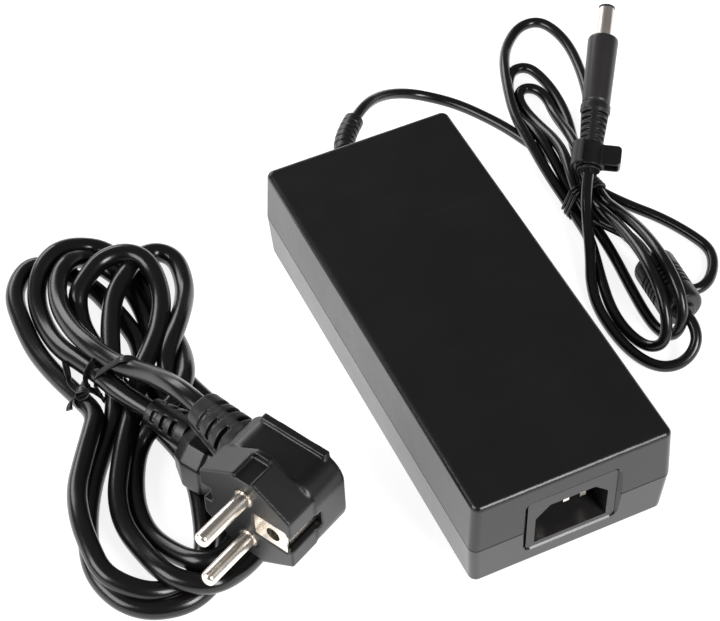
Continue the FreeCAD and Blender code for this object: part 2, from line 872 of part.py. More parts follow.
ferrite_length = (vector(*ferrite_rear) - vector(*ferrite_front)).Length
ferrite_direction = tuple((vector(*ferrite_rear) - vector(*ferrite_front)).normalize())
ferrite_frame = placement(ferrite_front, ferrite_direction, (-1, 0, 0))
ferrite_core_radius = ferrite_cover_radius - ferrite_cover_wall


def ferrite_cover():
    """The moulded barrel over the ferrite, with a neck at each end and ribs round its middle."""
    shell_length = ferrite_length - 2 * ferrite_neck_length
    barrel = rod((ferrite_neck_length, 0, 0), (1, 0, 0), ferrite_cover_radius, shell_length)
    rims = [e for e in barrel.Edges if isinstance(e.Curve, Part.Circle)]
    barrel = barrel.makeFillet(ferrite_cover_edge, rims)
    middle = ferrite_length / 2
    for index in range(ferrite_rib_count):
        x = middle + (index - (ferrite_rib_count - 1) / 2) * ferrite_rib_pitch - ferrite_rib_width / 2
        barrel = barrel.cut(ring((x, 0, 0), (1, 0, 0), ferrite_cover_radius + 1,
                                 ferrite_cover_radius - ferrite_rib_depth, ferrite_rib_width))
    necks = rod((0, 0, 0), (1, 0, 0), ferrite_neck_radius, ferrite_length)
    inside_start = ferrite_neck_length + ferrite_end_wall
    room = rod((inside_start, 0, 0), (1, 0, 0), ferrite_core_radius + blade_fit,
               shell_length - 2 * ferrite_end_wall)
    bore = rod((0, 0, 0), (1, 0, 0), cord_diameter / 2, ferrite_length)
    liner = rod((inside_start, 0, 0), (1, 0, 0), cord_diameter / 2 + blade_fit, shell_length)
    return moved(joined(barrel, necks).cut(room).cut(bore).cut(liner.common(room)), ferrite_frame)


def ferrite_core():
    start = ferrite_neck_length + ferrite_end_wall
    length = ferrite_length - 2 * start
    core = ring((start, 0, 0), (1, 0, 0), ferrite_core_radius, ferrite_core_bore, length)
    return moved(core, ferrite_frame)


def ferrite_cord_stretches():
    """The cord from the waist into the ferrite, and from the ferrite back to the loops."""
    inner = rod(ferrite_front, ferrite_direction, cord_diameter / 2 - blade_fit, ferrite_length)
    rear = cord_tube("cord behind ferrite", ferrite_rear_route, cord_diameter)
    front = cord_tube("cord before ferrite", ferrite_front_route, cord_diameter)
    return Part.makeCompound([rear, inner, front])


def output_cord_hank():
    """The outer shape of the output cord's loops: an upper oval, a waist, and two lower ovals that
    lie under the ferrite, with a wrap over its outer side."""
    upper = oval(upper_hank_centre, upper_hank_half_length, upper_hank_half_width, upper_hank_heading,
                 upper_hank_height)
    waist = turned_block(waist_centre, waist_heading, waist_half_length, waist_half_width, 0, waist_height)
    left = oval(inner_loop_centre, inner_loop_half_length, inner_loop_half_width, inner_loop_heading,
                hank_layer)
    right = oval(outer_loop_centre, outer_loop_half_length, outer_loop_half_width, outer_loop_heading,
                 hank_layer)
    inner = ferrite_cover_radius + wrap_gap
    wrap = arc_band(wrap_margin, ferrite_length - wrap_margin, inner, inner + hank_layer, 0,
                    wrap_to - wrap_from)
    wrap.rotate(vector(0, 0), vector(1, 0, 0), 90 - wrap_to)
    wrap = moved(wrap, ferrite_frame)
    return joined(upper, waist, left, right, wrap).cut(output_tie(tie_room))


def tie_loop(centre, heading, offset, width, half_width, height, grow=0.0):
    """A band round a waist, with its twisted end standing at one side; grow widens it all round."""
    inner_half = half_width + tie_gap - grow
    inner_top = height + tie_gap - grow
    outer_half = half_width + tie_gap + tie_thickness + grow
    outer_top = height + tie_gap + tie_thickness + grow
    outer = turned_block(centre, heading, width / 2 + grow, outer_half, -grow, outer_top, offset)
    inner = turned_block(centre, heading, width, inner_half, -1, inner_top, offset)
    knot_bottom = height / 2 - grow
    knot_half = tie_knot_radius + grow
    knot = block(offset - knot_half, offset + knot_half, half_width + tie_gap + tie_thickness / 2,
                 half_width + tie_knot_length + grow, knot_bottom, knot_bottom + 2 * knot_half)
    knot.rotate(vector(0, 0), vector(0, 0, 1), heading)
    knot.translate(vector(centre[0], centre[1]))
    return joined(outer.cut(inner), knot)


def output_tie(grow=0.0):
    return tie_loop(waist_centre, waist_heading, tie_offset, tie_width, waist_half_width, waist_height, grow)


def mains_tie(grow=0.0):
    return tie_loop(mains_waist_centre, mains_waist_heading, mains_tie_offset, mains_tie_width,
                    mains_waist_half_width, mains_waist_height, grow)


# The output plug, in its own frame: X runs from the cord to the tip

plug_frame = placement(plug_rear, plug_heading, (-plug_heading[1], plug_heading[0], 0))
relief_start = clip_room
ring_start = relief_start + plug_relief_length
groove_start = ring_start + plug_ring_length
grip_start = groove_start + plug_groove_length
barrel_start = grip_start + grip_length
plug_tip = barrel_start + barrel_length


def slotted(shape, radius, places, slot_width, slot_depth, web):
    """Ring-shaped slots round a shape on the X axis, with four webs left standing."""
    for x in places:
        slot = ring((x - slot_width / 2, 0, 0), (1, 0, 0), radius + 2, radius - slot_depth, slot_width)
        upright = block(x - slot_width, x + slot_width, -web / 2, web / 2, -radius - 3, radius + 3)
        level = block(x - slot_width, x + slot_width, -radius - 3, radius + 3, -web / 2, web / 2)
        shape = shape.cut(slot.cut(upright).cut(level))
    return shape


def output_plug_relief():
    neck = rod((0, 0, 0), (1, 0, 0), plug_neck_radius, relief_start + 1)
    lip = rod((0, 0, 0), (1, 0, 0), neck_lip_radius, neck_lip_length)
    body = cone((relief_start, 0, 0), (1, 0, 0), plug_relief_rear_radius, plug_relief_front_radius,
                plug_relief_length)
    band = rod((ring_start, 0, 0), (1, 0, 0), plug_ring_radius, plug_ring_length)
    first = relief_start + relief_slot_margin + relief_slot_width / 2
    pitch = (plug_relief_length - 2 * relief_slot_margin - relief_slot_width) / (relief_slot_rows - 1)
    places = [first + row * pitch for row in range(relief_slot_rows)]
    middle_radius = (plug_relief_rear_radius + plug_relief_front_radius) / 2
    body = slotted(body, middle_radius, places, relief_slot_width, relief_slot_depth, relief_slot_web)
    return moved(joined(neck, lip, body, band), plug_frame)


def output_plug_grip():
    throat = rod((groove_start, 0, 0), (1, 0, 0), plug_groove_radius, plug_groove_length)
    handle = cone((grip_start, 0, 0), (1, 0, 0), grip_rear_radius, grip_front_radius,
                  grip_length - grip_chamfer)
    shoulder = cone((barrel_start - grip_chamfer, 0, 0), (1, 0, 0), grip_front_radius,
                    grip_front_radius - grip_chamfer, grip_chamfer)
    socket = rod((barrel_start - barrel_root, 0, 0), (1, 0, 0), barrel_root_radius + barrel_fit, barrel_root)
    return moved(joined(throat, handle, shoulder).cut(socket), plug_frame)


def plug_barrel():
    """The bare tube, and its thicker root, which the grip is moulded round."""
    bore = barrel_radius - barrel_wall
    root = ring((barrel_start - barrel_root, 0, 0), (1, 0, 0), barrel_root_radius, bore, barrel_root)
    tube = ring((barrel_start, 0, 0), (1, 0, 0), barrel_radius, bore, barrel_length - insulator_rim)
    return moved(joined(root, tube), plug_frame)


def plug_insulator():
    start = barrel_start - barrel_root
    radius = barrel_radius - barrel_wall
    liner = rod((start, 0, 0), (1, 0, 0), radius, plug_tip - start - insulator_rim)
    rim = rod((plug_tip - insulator_rim, 0, 0), (1, 0, 0), barrel_radius, insulator_rim)
    bore = rod((plug_tip - plug_bore_depth, 0, 0), (1, 0, 0), radius - insulator_wall, plug_bore_depth)
    pin_hole = rod((start, 0, 0), (1, 0, 0), centre_pin_radius, plug_tip)
    return moved(joined(liner, rim).cut(bore).cut(pin_hole), plug_frame)


def plug_inner_contact():
    radius = barrel_radius - barrel_wall - insulator_wall
    start = plug_tip - plug_bore_depth
    length = plug_bore_depth - insulator_rim
    return moved(ring((start, 0, 0), (1, 0, 0), radius, radius - inner_contact_wall, length), plug_frame)


def plug_center_pin():
    start = barrel_start - barrel_root
    length = plug_tip - centre_pin_setback - start
    return moved(rod((start, 0, 0), (1, 0, 0), centre_pin_radius, length), plug_frame)


def cord_clip():
    """A C-shaped collar that turns on the plug's neck, with a strap on one side and a loop on the other."""
    start = neck_lip_length + clip_clearance
    end = clip_room - clip_clearance
    inner = plug_neck_radius + clip_clearance
    outer = inner + clip_wall
    half_opening = clip_opening / 2
    collar = arc_band(start, end, inner, outer, 270 + half_opening, 630 - half_opening)
    strap_inner = outer + strap_gap
    strap_outer = strap_inner + strap_thickness
    strap = arc_band(start, end, strap_inner, strap_outer, strap_from, strap_to)
    bridge = arc_band(start, end, inner + clip_wall / 2, strap_outer, strap_to - strap_bridge, strap_to)
    middle = (start + end) / 2
    loop = block(middle - tab_width / 2, middle + tab_width / 2, -tab_reach, -outer + clip_wall / 2,
                 -tab_half_height, tab_half_height)
    outer_edges = [e for e in loop.Edges if all(abs(v.Point.y + tab_reach) < 1e-6 for v in e.Vertexes)]
    upright_edges = [e for e in outer_edges if e.BoundBox.ZLength > tab_half_height]
    loop = loop.makeFillet(tab_corner, upright_edges)
    opening = block(middle - tab_width, middle + tab_width, -tab_reach + tab_wall, -outer - tab_wall / 2,
                    -tab_half_height + tab_wall, tab_half_height - tab_wall)
    loop = loop.cut(opening).cut(rod((0, 0, 0), (1, 0, 0), inner, clip_room))
    return moved(joined(collar, strap, bridge, loop), plug_frame)


# The mains plug, in its own frame: X runs backward from the face, Y towards its boot, Z up

mains_plug_frame = placement(plug_face, plug_backward, plug_side)


earth_clip_floor = side_flat_distance - earth_clip_recess_depth


def mains_plug_body():
    disc = rod((0, 0, 0), (1, 0, 0), disc_radius, disc_depth)
    flats = [(0, side_flat_distance), (-facet_angle, facet_distance), (facet_angle, facet_distance)]
    for side in (0, 180):
        for turn, distance in flats:
            outside = block(-1, disc_depth + 1, distance, 2 * disc_radius, -2 * disc_radius, 2 * disc_radius)
            outside.rotate(vector(0, 0), vector(1, 0, 0), turn + side)
            disc = disc.cut(outside)
    back = disc_depth + block_depth
    outline = rounded_outline(-block_half_width, block_half_width, -block_half_height, block_half_height,
                              block_corner, 0)
    rear = Part.Face(outline).extrude(vector(0, 0, block_depth))
    rear = rear.makeFillet(block_edge, side_edges(rear, block_depth))
    rear.rotate(vector(0, 0), vector(0, 0, 1), 90)
    rear.rotate(vector(0, 0), vector(0, 1, 0), 90)
    rear.translate(vector(disc_depth, 0, 0))
    ridge = block(back - ridge_width, back, -ridge_half_length, ridge_half_length,
                  block_half_height - ridge_root, block_half_height + ridge_height)
    body = joined(disc, rear, ridge)
    for side in (-1, 1):
        guide = block(-1, disc_depth - guide_end_gap, -guide_width / 2, guide_width / 2,
                      disc_radius - guide_depth, disc_radius + 1)
        clip_recess = block(-1, disc_depth + earth_clip_foot, earth_clip_floor, disc_radius + 1,
                            -earth_clip_recess_width / 2, earth_clip_recess_width / 2)
        for cutter in (guide, clip_recess):
            if side < 0:
                cutter.rotate(vector(0, 0), vector(1, 0, 0), 180)
            body = body.cut(cutter)
        z = side * pin_half_spacing
        body = body.cut(rod((0, 0, z), (1, 0, 0), pin_radius + pin_fit, pin_root + pin_fit))
        body = body.cut(rod((0, 0, z), (1, 0, 0), pin_collar_radius + pin_fit, pin_collar_length))
    sleeve = earth_hole_radius + earth_sleeve_wall + pin_fit
    body = body.cut(rod((0, -earth_hole_offset, 0), (1, 0, 0), sleeve, earth_hole_depth))
    seat_half_height = earth_plate_half_height + pin_fit
    seat_depth = earth_plate_sink + earth_plate_thickness
    seat = block(0, seat_depth, -earth_hole_offset - earth_plate_outer - pin_fit,
                 -earth_hole_offset + earth_plate_inner + pin_fit, -seat_half_height, seat_half_height)
    return moved(body.cut(seat), mains_plug_frame)


def mains_plug_pin(side):
    """A round pin with a domed tip, its collar at the face, and its root in the body."""
    z = side * pin_half_spacing
    shaft = rod((-pin_length, 0, z), (1, 0, 0), pin_radius, pin_length + pin_root)
    rims = [e for e in shaft.Edges if isinstance(e.Curve, Part.Circle)]
    tip_edges = [e for e in rims if e.Vertexes[0].Point.x < -pin_length + 1e-6]
    shaft = shaft.makeFillet(pin_radius * pin_dome_share, tip_edges)
    collar = rod((0, 0, z), (1, 0, 0), pin_collar_radius, pin_collar_length)
    return moved(joined(shaft, collar), mains_plug_frame)


def earth_socket_contact():
    """The plate round the earth hole, and the sleeve behind it."""
    y = -earth_hole_offset
    plate = block(earth_plate_sink, earth_plate_sink + earth_plate_thickness, y - earth_plate_outer,
                  y + earth_plate_inner, -earth_plate_half_height, earth_plate_half_height)
    sleeve = rod((earth_plate_sink, y, 0), (1, 0, 0), earth_hole_radius + earth_sleeve_wall,
                 earth_hole_depth - earth_plate_sink)
    hole = rod((-1, y, 0), (1, 0, 0), earth_hole_radius, earth_hole_depth + 2)
    return moved(joined(plate, sleeve).cut(hole), mains_plug_frame)


def side_earth_clips():
    """Two spring strips, each on a foot at the back of its recess."""
    half = earth_clip_width / 2
    end = disc_depth + earth_clip_foot
    low = earth_clip_floor + earth_clip_stand
    high = low + earth_clip_thickness
    clips = []
    for side in (0, 180):
        strip = block(earth_clip_front, end, low, high, -half, half)
        foot = block(end - earth_clip_foot, end, earth_clip_floor, high, -half, half)
        lug = joined(strip, foot)
        lug.rotate(vector(0, 0), vector(1, 0, 0), side)
        clips.append(moved(lug, mains_plug_frame))
    return Part.makeCompound(clips)


def mains_plug_relief():
    """The slotted boot at the plug's side, which leans a little backward."""
    boot = cone((0, 0, 0), (1, 0, 0), mains_boot_root_radius, mains_boot_tip_radius, mains_boot_length)
    radius = (mains_boot_root_radius + mains_boot_tip_radius) / 2
    boot = slotted(boot, radius, mains_boot_slots, boot_slot_width, boot_slot_depth, boot_slot_web)
    lean = math.radians(mains_boot_lean)
    side = mains_plug_frame.Rotation.multVec(vector(math.sin(lean), math.cos(lean), 0))
    root = mains_plug_frame.multVec(vector(mains_boot_setback, mains_boot_start, 0))
    body = moved(boot, placement(root, side, (-side.y, side.x, 0)))
    return body.cut(mains_plug_body())


# The mains lead's inlet connector, in its own frame: X runs from its cord to its mating face

connector_side = (-connector_heading[1], connector_heading[0], 0)
connector_frame = placement(connector_start, connector_heading, connector_side)
connector_end = connector_boot_length + connector_length
connector_width = cavity_width - 2 * connector_fit
connector_height = cavity_height - 2 * connector_fit


def connector_outline(grow, x):
    """The connector's section at a distance along it, with its upper corners cut off."""
    half = connector_width / 2 + grow
    bottom = -connector_height / 2 - grow
    top = connector_height / 2 + grow
    chamfer = cavity_chamfer
    corners = [(-half, bottom), (half, bottom), (half, top - chamfer), (half - chamfer, top),
               (-half + chamfer, top), (-half, top - chamfer), (-half, bottom)]
    return Part.makePolygon([vector(x, y, z) for y, z in corners])


def contact_places():
    """Where the inlet's blades come, measured from the middle of the connector's section."""
    middle = cavity_bottom + cavity_height / 2
    return [(x, z - middle) for name, x, z, setback in blade_places()]


def mains_connector_body():
    nose_start = connector_end - connector_nose
    nose = Part.Face(connector_outline(0, nose_start)).extrude(vector(connector_nose, 0, 0))
    handle_start = connector_boot_length + connector_taper
    shoulder = connector_outline(connector_shoulder, handle_start)
    handle = Part.Face(shoulder).extrude(vector(nose_start - handle_start, 0, 0))
    tip = connector_outline(-connector_tip_inset, connector_boot_length)
    taper = Part.makeLoft([tip, shoulder], True, True)
    body = joined(nose, handle, taper)
    half_width = contact_slot_width / 2
    half_height = contact_slot_height / 2
    for y, z in contact_places():
        slot = block(connector_end - contact_depth, connector_end + 1, y - half_width, y + half_width,
                     z - half_height, z + half_height)
        body = body.cut(slot)
    return moved(body, connector_frame)


def connector_contacts():
    """Three folded brass contacts, each open towards the mating face."""
    contacts = []
    half_width = contact_slot_width / 2 - contact_clearance
    half_height = contact_slot_height / 2 - contact_clearance
    start = connector_end - contact_depth
    end = connector_end - contact_setback
    for y, z in contact_places():
        outer = block(start, end, y - half_width, y + half_width, z - half_height, z + half_height)
        inner_half = half_width - contact_wall
        inner = block(start + contact_wall, end, y - inner_half, y + inner_half,
                      z - half_height - 1, z + half_height + 1)
        contacts.append(moved(outer.cut(inner), connector_frame))
    return Part.makeCompound(contacts)


def mains_connector_relief():
    boot = cone((0, 0, 0), (1, 0, 0), connector_boot_tip_radius, connector_boot_root_radius,
                connector_boot_length)
    radius = (connector_boot_tip_radius + connector_boot_root_radius) / 2
    boot = slotted(boot, radius, connector_boot_slots, boot_slot_width, boot_slot_depth, boot_slot_web)
    return moved(boot, connector_frame)


def mains_cord_hank():
    """The outer shape of the mains cord's loops: an upper oval, a high waist, and a flat lower
    oval under the plug and connector with a thicker outer side."""
    upper = oval(mains_upper_centre, mains_upper_half_length, mains_upper_half_width, mains_upper_heading,
                 mains_upper_height)
    waist = turned_block(mains_waist_centre, mains_waist_heading, mains_waist_half_length,
                         mains_waist_half_width, 0, mains_waist_height)
    lower = oval(mains_lower_centre, mains_lower_half_length, mains_lower_half_width, mains_lower_heading,
                 mains_layer)
    side = oval(mains_lower_centre, mains_lower_half_length, mains_lower_half_width, mains_lower_heading,
                mains_side_height)
    reach = 2 * mains_lower_half_length
    side_room = block(mains_lower_centre[0] - reach, mains_side_limit, mains_lower_centre[1] - reach,
                      mains_lower_centre[1] + reach, 0, mains_side_height)
    side = side.common(side_room)
    return joined(upper, waist, lower, side).cut(mains_tie(tie_room))


def build():
    """Every sub-part by its name."""
    parts = {
        "lower_case": lower_case(),
        "upper_case": upper_case(),
        "inlet_housing": inlet_housing(),
        "circuit_board": circuit_board(),
        "heat_spreader_bottom": spreader(case_wall),
        "heat_spreader_top": spreader(spreader_underside),
        "insulation_sheet": insulation_sheet(),
        "output_wires": output_wires(),
        "output_strain_relief": output_strain_relief(),
        "output_cord_stretch": cord_tube("output cord", output_route, cord_diameter),
        "output_cord_hank": output_cord_hank(),
        "output_cord_tie": output_tie(),
        "ferrite_core": ferrite_core(),
        "ferrite_cover": ferrite_cover(),
        "ferrite_cord_stretches": ferrite_cord_stretches(),
        "plug_cord_stretch": cord_tube("plug cord", plug_route, cord_diameter),
        "output_plug_relief": output_plug_relief(),
        "output_plug_grip": output_plug_grip(),
        "plug_barrel": plug_barrel(),
        "plug_insulator": plug_insulator(),
        "plug_inner_contact": plug_inner_contact(),
        "plug_center_pin": plug_center_pin(),
        "cord_clip": cord_clip(),
        "mains_plug_body": mains_plug_body(),
        "mains_plug_line_pin": mains_plug_pin(1),
        "mains_plug_neutral_pin": mains_plug_pin(-1),
        "earth_socket_contact": earth_socket_contact(),
        "side_earth_clips": side_earth_clips(),
        "mains_plug_relief": mains_plug_relief(),
        "mains_connector_body": mains_connector_body(),
        "mains_connector_relief": mains_connector_relief(),
        "connector_contacts": connector_contacts(),
        "plug_side_cord_stretch": cord_tube("mains cord at plug", plug_stretch_route, mains_diameter),
        "connector_cord_stretch": cord_tube("connector cord", connector_stretch_route, mains_diameter),
        "mains_cord_hank": mains_cord_hank(),
        "mains_cord_tie": mains_tie(),
    }
    for name, x, z, setback in blade_places():
        parts[name] = inlet_pin(x, z, setback)
    parts.update(inside_parts())
    return parts


os.makedirs("parts", exist_ok=True)
for part_name, part_shape in build().items():
    for solid in part_shape.Solids:
        if not solid.isValid():
            print("not valid:", part_name)
    if not part_shape.Solids:
        print("no solid:", part_name)
    part_shape.exportStep("parts/" + part_name + ".step")
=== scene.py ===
import math

import bmesh
import bpy
import numpy as np
from mathutils import Matrix, Vector


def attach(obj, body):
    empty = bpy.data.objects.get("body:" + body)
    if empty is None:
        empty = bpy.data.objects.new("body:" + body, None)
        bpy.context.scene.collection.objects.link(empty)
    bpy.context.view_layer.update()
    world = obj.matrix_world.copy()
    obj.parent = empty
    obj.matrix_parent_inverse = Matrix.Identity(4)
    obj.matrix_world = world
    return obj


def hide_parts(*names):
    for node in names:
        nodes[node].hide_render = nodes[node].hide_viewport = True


# A laptop power adapter: the brick, its tied output cord with a ferrite and a barrel plug, and the tied
# mains lead. Places and sizes are in millimetres and are turned into metres where a piece is made. The
# studio's sizes and those of the materials are in metres.

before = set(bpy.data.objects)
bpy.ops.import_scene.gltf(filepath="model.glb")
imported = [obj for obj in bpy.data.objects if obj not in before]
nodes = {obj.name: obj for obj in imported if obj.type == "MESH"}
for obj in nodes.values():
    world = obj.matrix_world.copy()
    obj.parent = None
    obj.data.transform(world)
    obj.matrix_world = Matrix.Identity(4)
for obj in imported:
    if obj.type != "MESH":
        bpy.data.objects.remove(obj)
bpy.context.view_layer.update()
millimetre = 0.001
upwards = (0.0, 0.0, 1.0)

# Camera: where it stands, its three angles in degrees, and its lens
camera_place = (-204.3, -383.2, 542.4)
camera_azimuth = -24.0
camera_elevation = 49.71
camera_roll = -1.431
camera_lens = 107.1
camera_sensor = 36.0

# Studio: where the lights aim, then each light's name, place, width, height and power in watts
light_aim = (0.0, 0.02, 0.01)
soft_lights = [
    ("front light", (0.34, -1.05, 0.80), 0.45, 0.7, 15.0),
    ("left light", (-1.15, 0.10, 0.75), 0.9, 0.7, 13.0),
    ("back light", (-0.25, 1.30, 0.55), 1.0, 0.5, 7.0),
]
surround_strength = 0.15
floor_half_width = 30.0
floor_height = -0.0001
floor_grey = (0.45, 0.45, 0.45, 1.0)
floor_glow_seen = 0.86
floor_glow_mirrored = 1.12
white = (1.0, 1.0, 1.0, 1.0)

# Cord diameters
thin_cord = 3.8
thick_cord = 6.5

# The output cord's route, from the strain relief to the plug
output_exit_run = [
    (11.3, 102.2, 17.9), (17.6, 108.2, 17.2), (28.5, 116.0, 11.0), (39.2, 118.4, 5.4), (48.2, 114.9, 2.3),
    (55.0, 107.9, 1.95), (60.5, 98.9, 1.95), (64.9, 90.2, 1.95), (68.5, 80.5, 1.95), (72.0, 70.0, 1.95),
    (75.8, 59.4, 1.95), (79.6, 48.0, 1.95),
]
output_right_loop = [
    (85.2, 38.2, 1.95), (92.4, 28.2, 1.95), (97.6, 17.2, 1.95), (100.1, 8.5, 1.95), (97.3, 1.4, 1.95),
    (91.4, -4.6, 1.95), (84.8, -5.4, 1.95), (81.4, 0.8, 1.95), (80.4, 11.0, 1.95), (78.6, 22.0, 1.95),
    (76.3, 32.0, 1.95),
]
output_large_loop = [
    (74.9, 43.0, 2.2), (78.5, 54.5, 6.2), (86.0, 68.5, 6.0), (94.5, 82.1, 5.0), (101.8, 99.2, 2.0),
    (105.6, 115.3, 1.95), (105.3, 126.9, 1.95), (101.9, 134.7, 1.95), (93.7, 135.0, 1.95),
    (84.9, 127.8, 1.95), (78.0, 116.8, 5.0), (72.8, 104.0, 6.0), (68.6, 90.6, 5.8), (67.3, 76.3, 5.8),
    (66.5, 61.9, 4.2), (66.9, 48.0, 2.4),
]
output_left_loop = [
    (66.5, 40.0, 2.0), (66.0, 31.1, 2.0), (63.6, 22.5, 1.95), (60.3, 12.4, 1.95), (56.9, -0.3, 1.95),
    (56.6, -11.1, 1.95), (58.6, -19.9, 3.0), (61.8, -23.8, 6.0), (64.2, -22.8, 10.5), (65.4, -18.5, 16.0),
    (66.8, -12.0, 19.6), (68.6, -1.0, 20.4), (71.2, 14.0, 16.0), (72.6, 28.0, 11.0),
]
output_middle_loop = [
    (72.6, 40.5, 6.4), (74.4, 50.5, 6.4), (79.6, 65.4, 4.6), (86.6, 83.2, 2.4), (89.0, 97.0, 1.95),
    (88.6, 107.6, 1.95), (86.6, 114.4, 1.95), (80.8, 115.4, 1.95), (75.9, 109.6, 1.95), (72.3, 100.0, 1.95),
    (71.4, 91.0, 2.2), (71.9, 80.0, 5.6), (71.2, 66.7, 5.6), (70.2, 53.0, 2.8),
]
output_over_loop = [
    (70.3, 42.0, 2.0), (70.2, 31.7, 2.0), (69.3, 19.0, 1.95), (67.4, 5.5, 1.95), (66.0, -6.9, 1.95),
    (65.9, -15.6, 2.5), (67.5, -21.4, 5.0), (70.0, -22.3, 10.5), (71.6, -18.5, 17.0), (72.4, -12.0, 20.9),
    (73.6, -1.0, 21.6), (75.6, 14.0, 17.4), (76.6, 29.0, 11.2),
]
output_small_loop = [
    (76.2, 41.0, 6.4), (77.2, 53.0, 9.8), (80.1, 69.4, 8.8), (83.6, 88.5, 1.95), (85.2, 96.0, 1.95),
    (84.3, 102.4, 1.95), (80.2, 105.2, 1.95), (76.3, 102.6, 1.95), (75.0, 95.5, 1.95), (75.2, 85.0, 3.4),
    (75.2, 72.5, 7.0), (73.0, 61.0, 9.8), (69.8, 50.0, 9.4),
]
output_ferrite_run = [
    (68.4, 40.0, 6.6), (70.4, 33.0, 6.2), (73.4, 27.6, 6.2), (75.4, 21.6, 7.6), (75.2, 14.0, 10.2),
    (74.5, 6.2, 11.2), (73.2, -19.2, 11.2), (73.5, -24.0, 10.5), (72.4, -28.2, 8.0), (68.8, -30.7, 4.9),
    (63.8, -31.0, 2.8), (58.6, -28.4, 2.0),
]
output_plug_run = [
    (54.6, -22.0, 1.95), (52.6, -12.1, 1.95), (53.0, 2.1, 1.95), (56.2, 12.4, 3.0), (59.7, 19.0, 5.0),
    (62.8, 25.9, 7.2), (66.0, 33.5, 9.5), (69.2, 40.5, 13.3), (73.4, 46.7, 16.2),
]
output_cord_route = (
    output_exit_run + output_right_loop + output_large_loop + output_left_loop + output_middle_loop
    + output_over_loop + output_small_loop + output_ferrite_run + output_plug_run
)

# The mains lead's route, from its connector's relief to its plug's relief
mains_connector_run = [
    (-98.1, 16.2, 15.2), (-103.9, 25.6, 15.9), (-107.3, 36.2, 15.0), (-110.2, 46.4, 11.8),
    (-114.0, 58.0, 8.0), (-115.0, 71.0, 5.0), (-114.0, 83.0, 5.0), (-110.0, 91.0, 8.0),
    (-104.0, 96.0, 10.0), (-97.0, 99.0, 8.0), (-90.0, 99.0, 5.0), (-85.0, 95.8, 3.8), (-81.8, 88.0, 4.2),
    (-79.6, 79.5, 4.6), (-78.2, 69.0, 4.8), (-78.4, 58.0, 4.6), (-78.0, 48.5, 4.2), (-78.8, 39.5, 6.0),
    (-82.0, 29.0, 9.8), (-88.0, 21.0, 10.2),
]
mains_inner_low_loop = [
    (-98.0, 16.5, 9.2), (-105.0, 12.8, 4.6), (-110.0, 4.0, 3.3), (-114.0, -8.0, 3.3), (-114.0, -19.0, 3.3),
    (-110.0, -30.0, 6.0), (-105.0, -39.0, 10.0), (-97.5, -40.2, 9.6), (-89.4, -32.0, 6.0),
    (-83.5, -20.0, 3.3), (-82.0, -8.0, 3.3), (-80.8, 5.0, 3.3),
]
mains_small_high_loop = [
    (-83.0, 18.0, 3.4), (-86.0, 28.0, 4.2), (-86.6, 36.0, 8.4), (-81.4, 43.6, 10.2), (-74.8, 52.6, 8.4),
    (-68.0, 65.2, 4.0), (-65.4, 74.0, 3.3), (-64.8, 82.4, 3.3), (-68.6, 87.4, 3.8), (-74.8, 87.0, 5.4),
    (-80.2, 81.6, 8.6), (-84.5, 75.8, 11.5), (-91.0, 70.0, 10.4), (-96.0, 60.0, 10.0), (-100.0, 49.0, 10.0),
    (-103.0, 39.0, 10.0), (-105.0, 32.0, 8.6),
]
mains_outer_low_loop = [
    (-108.0, 26.0, 5.6), (-112.0, 21.0, 3.3), (-120.0, 11.0, 3.3), (-127.0, -1.0, 3.3),
    (-132.0, -14.0, 3.3), (-134.0, -25.0, 3.3), (-131.0, -36.0, 3.3), (-125.0, -43.0, 3.3),
    (-117.0, -46.0, 3.3), (-110.0, -46.0, 3.3), (-103.0, -43.0, 3.3), (-96.6, -35.0, 3.3),
    (-91.5, -24.0, 3.3), (-88.3, -11.0, 3.3), (-86.8, 4.0, 3.3),
]
mains_large_high_loop = [
    (-89.5, 19.0, 3.3), (-92.3, 32.0, 3.3), (-91.5, 44.0, 3.3), (-89.2, 53.0, 3.3), (-90.0, 62.0, 3.3),
    (-92.0, 72.0, 3.3), (-94.0, 81.0, 3.3), (-98.0, 88.0, 3.3), (-102.0, 94.0, 3.3), (-106.0, 99.0, 3.3),
    (-111.0, 100.0, 3.3), (-116.0, 96.0, 3.3), (-120.0, 89.0, 3.3), (-121.0, 77.0, 3.3),
    (-121.0, 65.0, 3.3), (-119.0, 52.0, 5.0), (-115.0, 38.0, 6.0),
]
mains_left_low_loop = [
    (-113.0, 28.0, 8.0), (-117.3, 21.2, 8.2), (-122.9, 13.0, 7.8), (-128.8, 3.3, 8.2), (-132.0, -9.0, 10.0),
    (-132.6, -19.4, 9.8), (-132.4, -29.1, 9.0), (-127.0, -36.3, 7.6), (-120.3, -40.8, 6.2),
    (-113.0, -40.6, 4.4), (-105.0, -38.0, 3.3), (-100.2, -30.0, 3.3), (-96.5, -19.0, 3.3),
    (-93.6, -7.0, 3.3), (-92.7, 4.0, 3.3),
]
mains_middle_high_loop = [
    (-95.2, 15.0, 3.3), (-98.5, 25.0, 3.3), (-101.5, 37.0, 4.0), (-102.5, 52.2, 4.4), (-104.0, 64.0, 5.0),
    (-103.0, 72.0, 6.0), (-101.0, 77.0, 10.0), (-95.0, 82.0, 11.0), (-89.3, 85.2, 12.0),
    (-81.5, 84.8, 12.5), (-76.5, 79.8, 12.5), (-75.2, 72.4, 11.0), (-77.0, 62.0, 10.0), (-82.0, 52.0, 10.0),
    (-87.2, 44.6, 10.6), (-93.7, 36.8, 11.0),
]
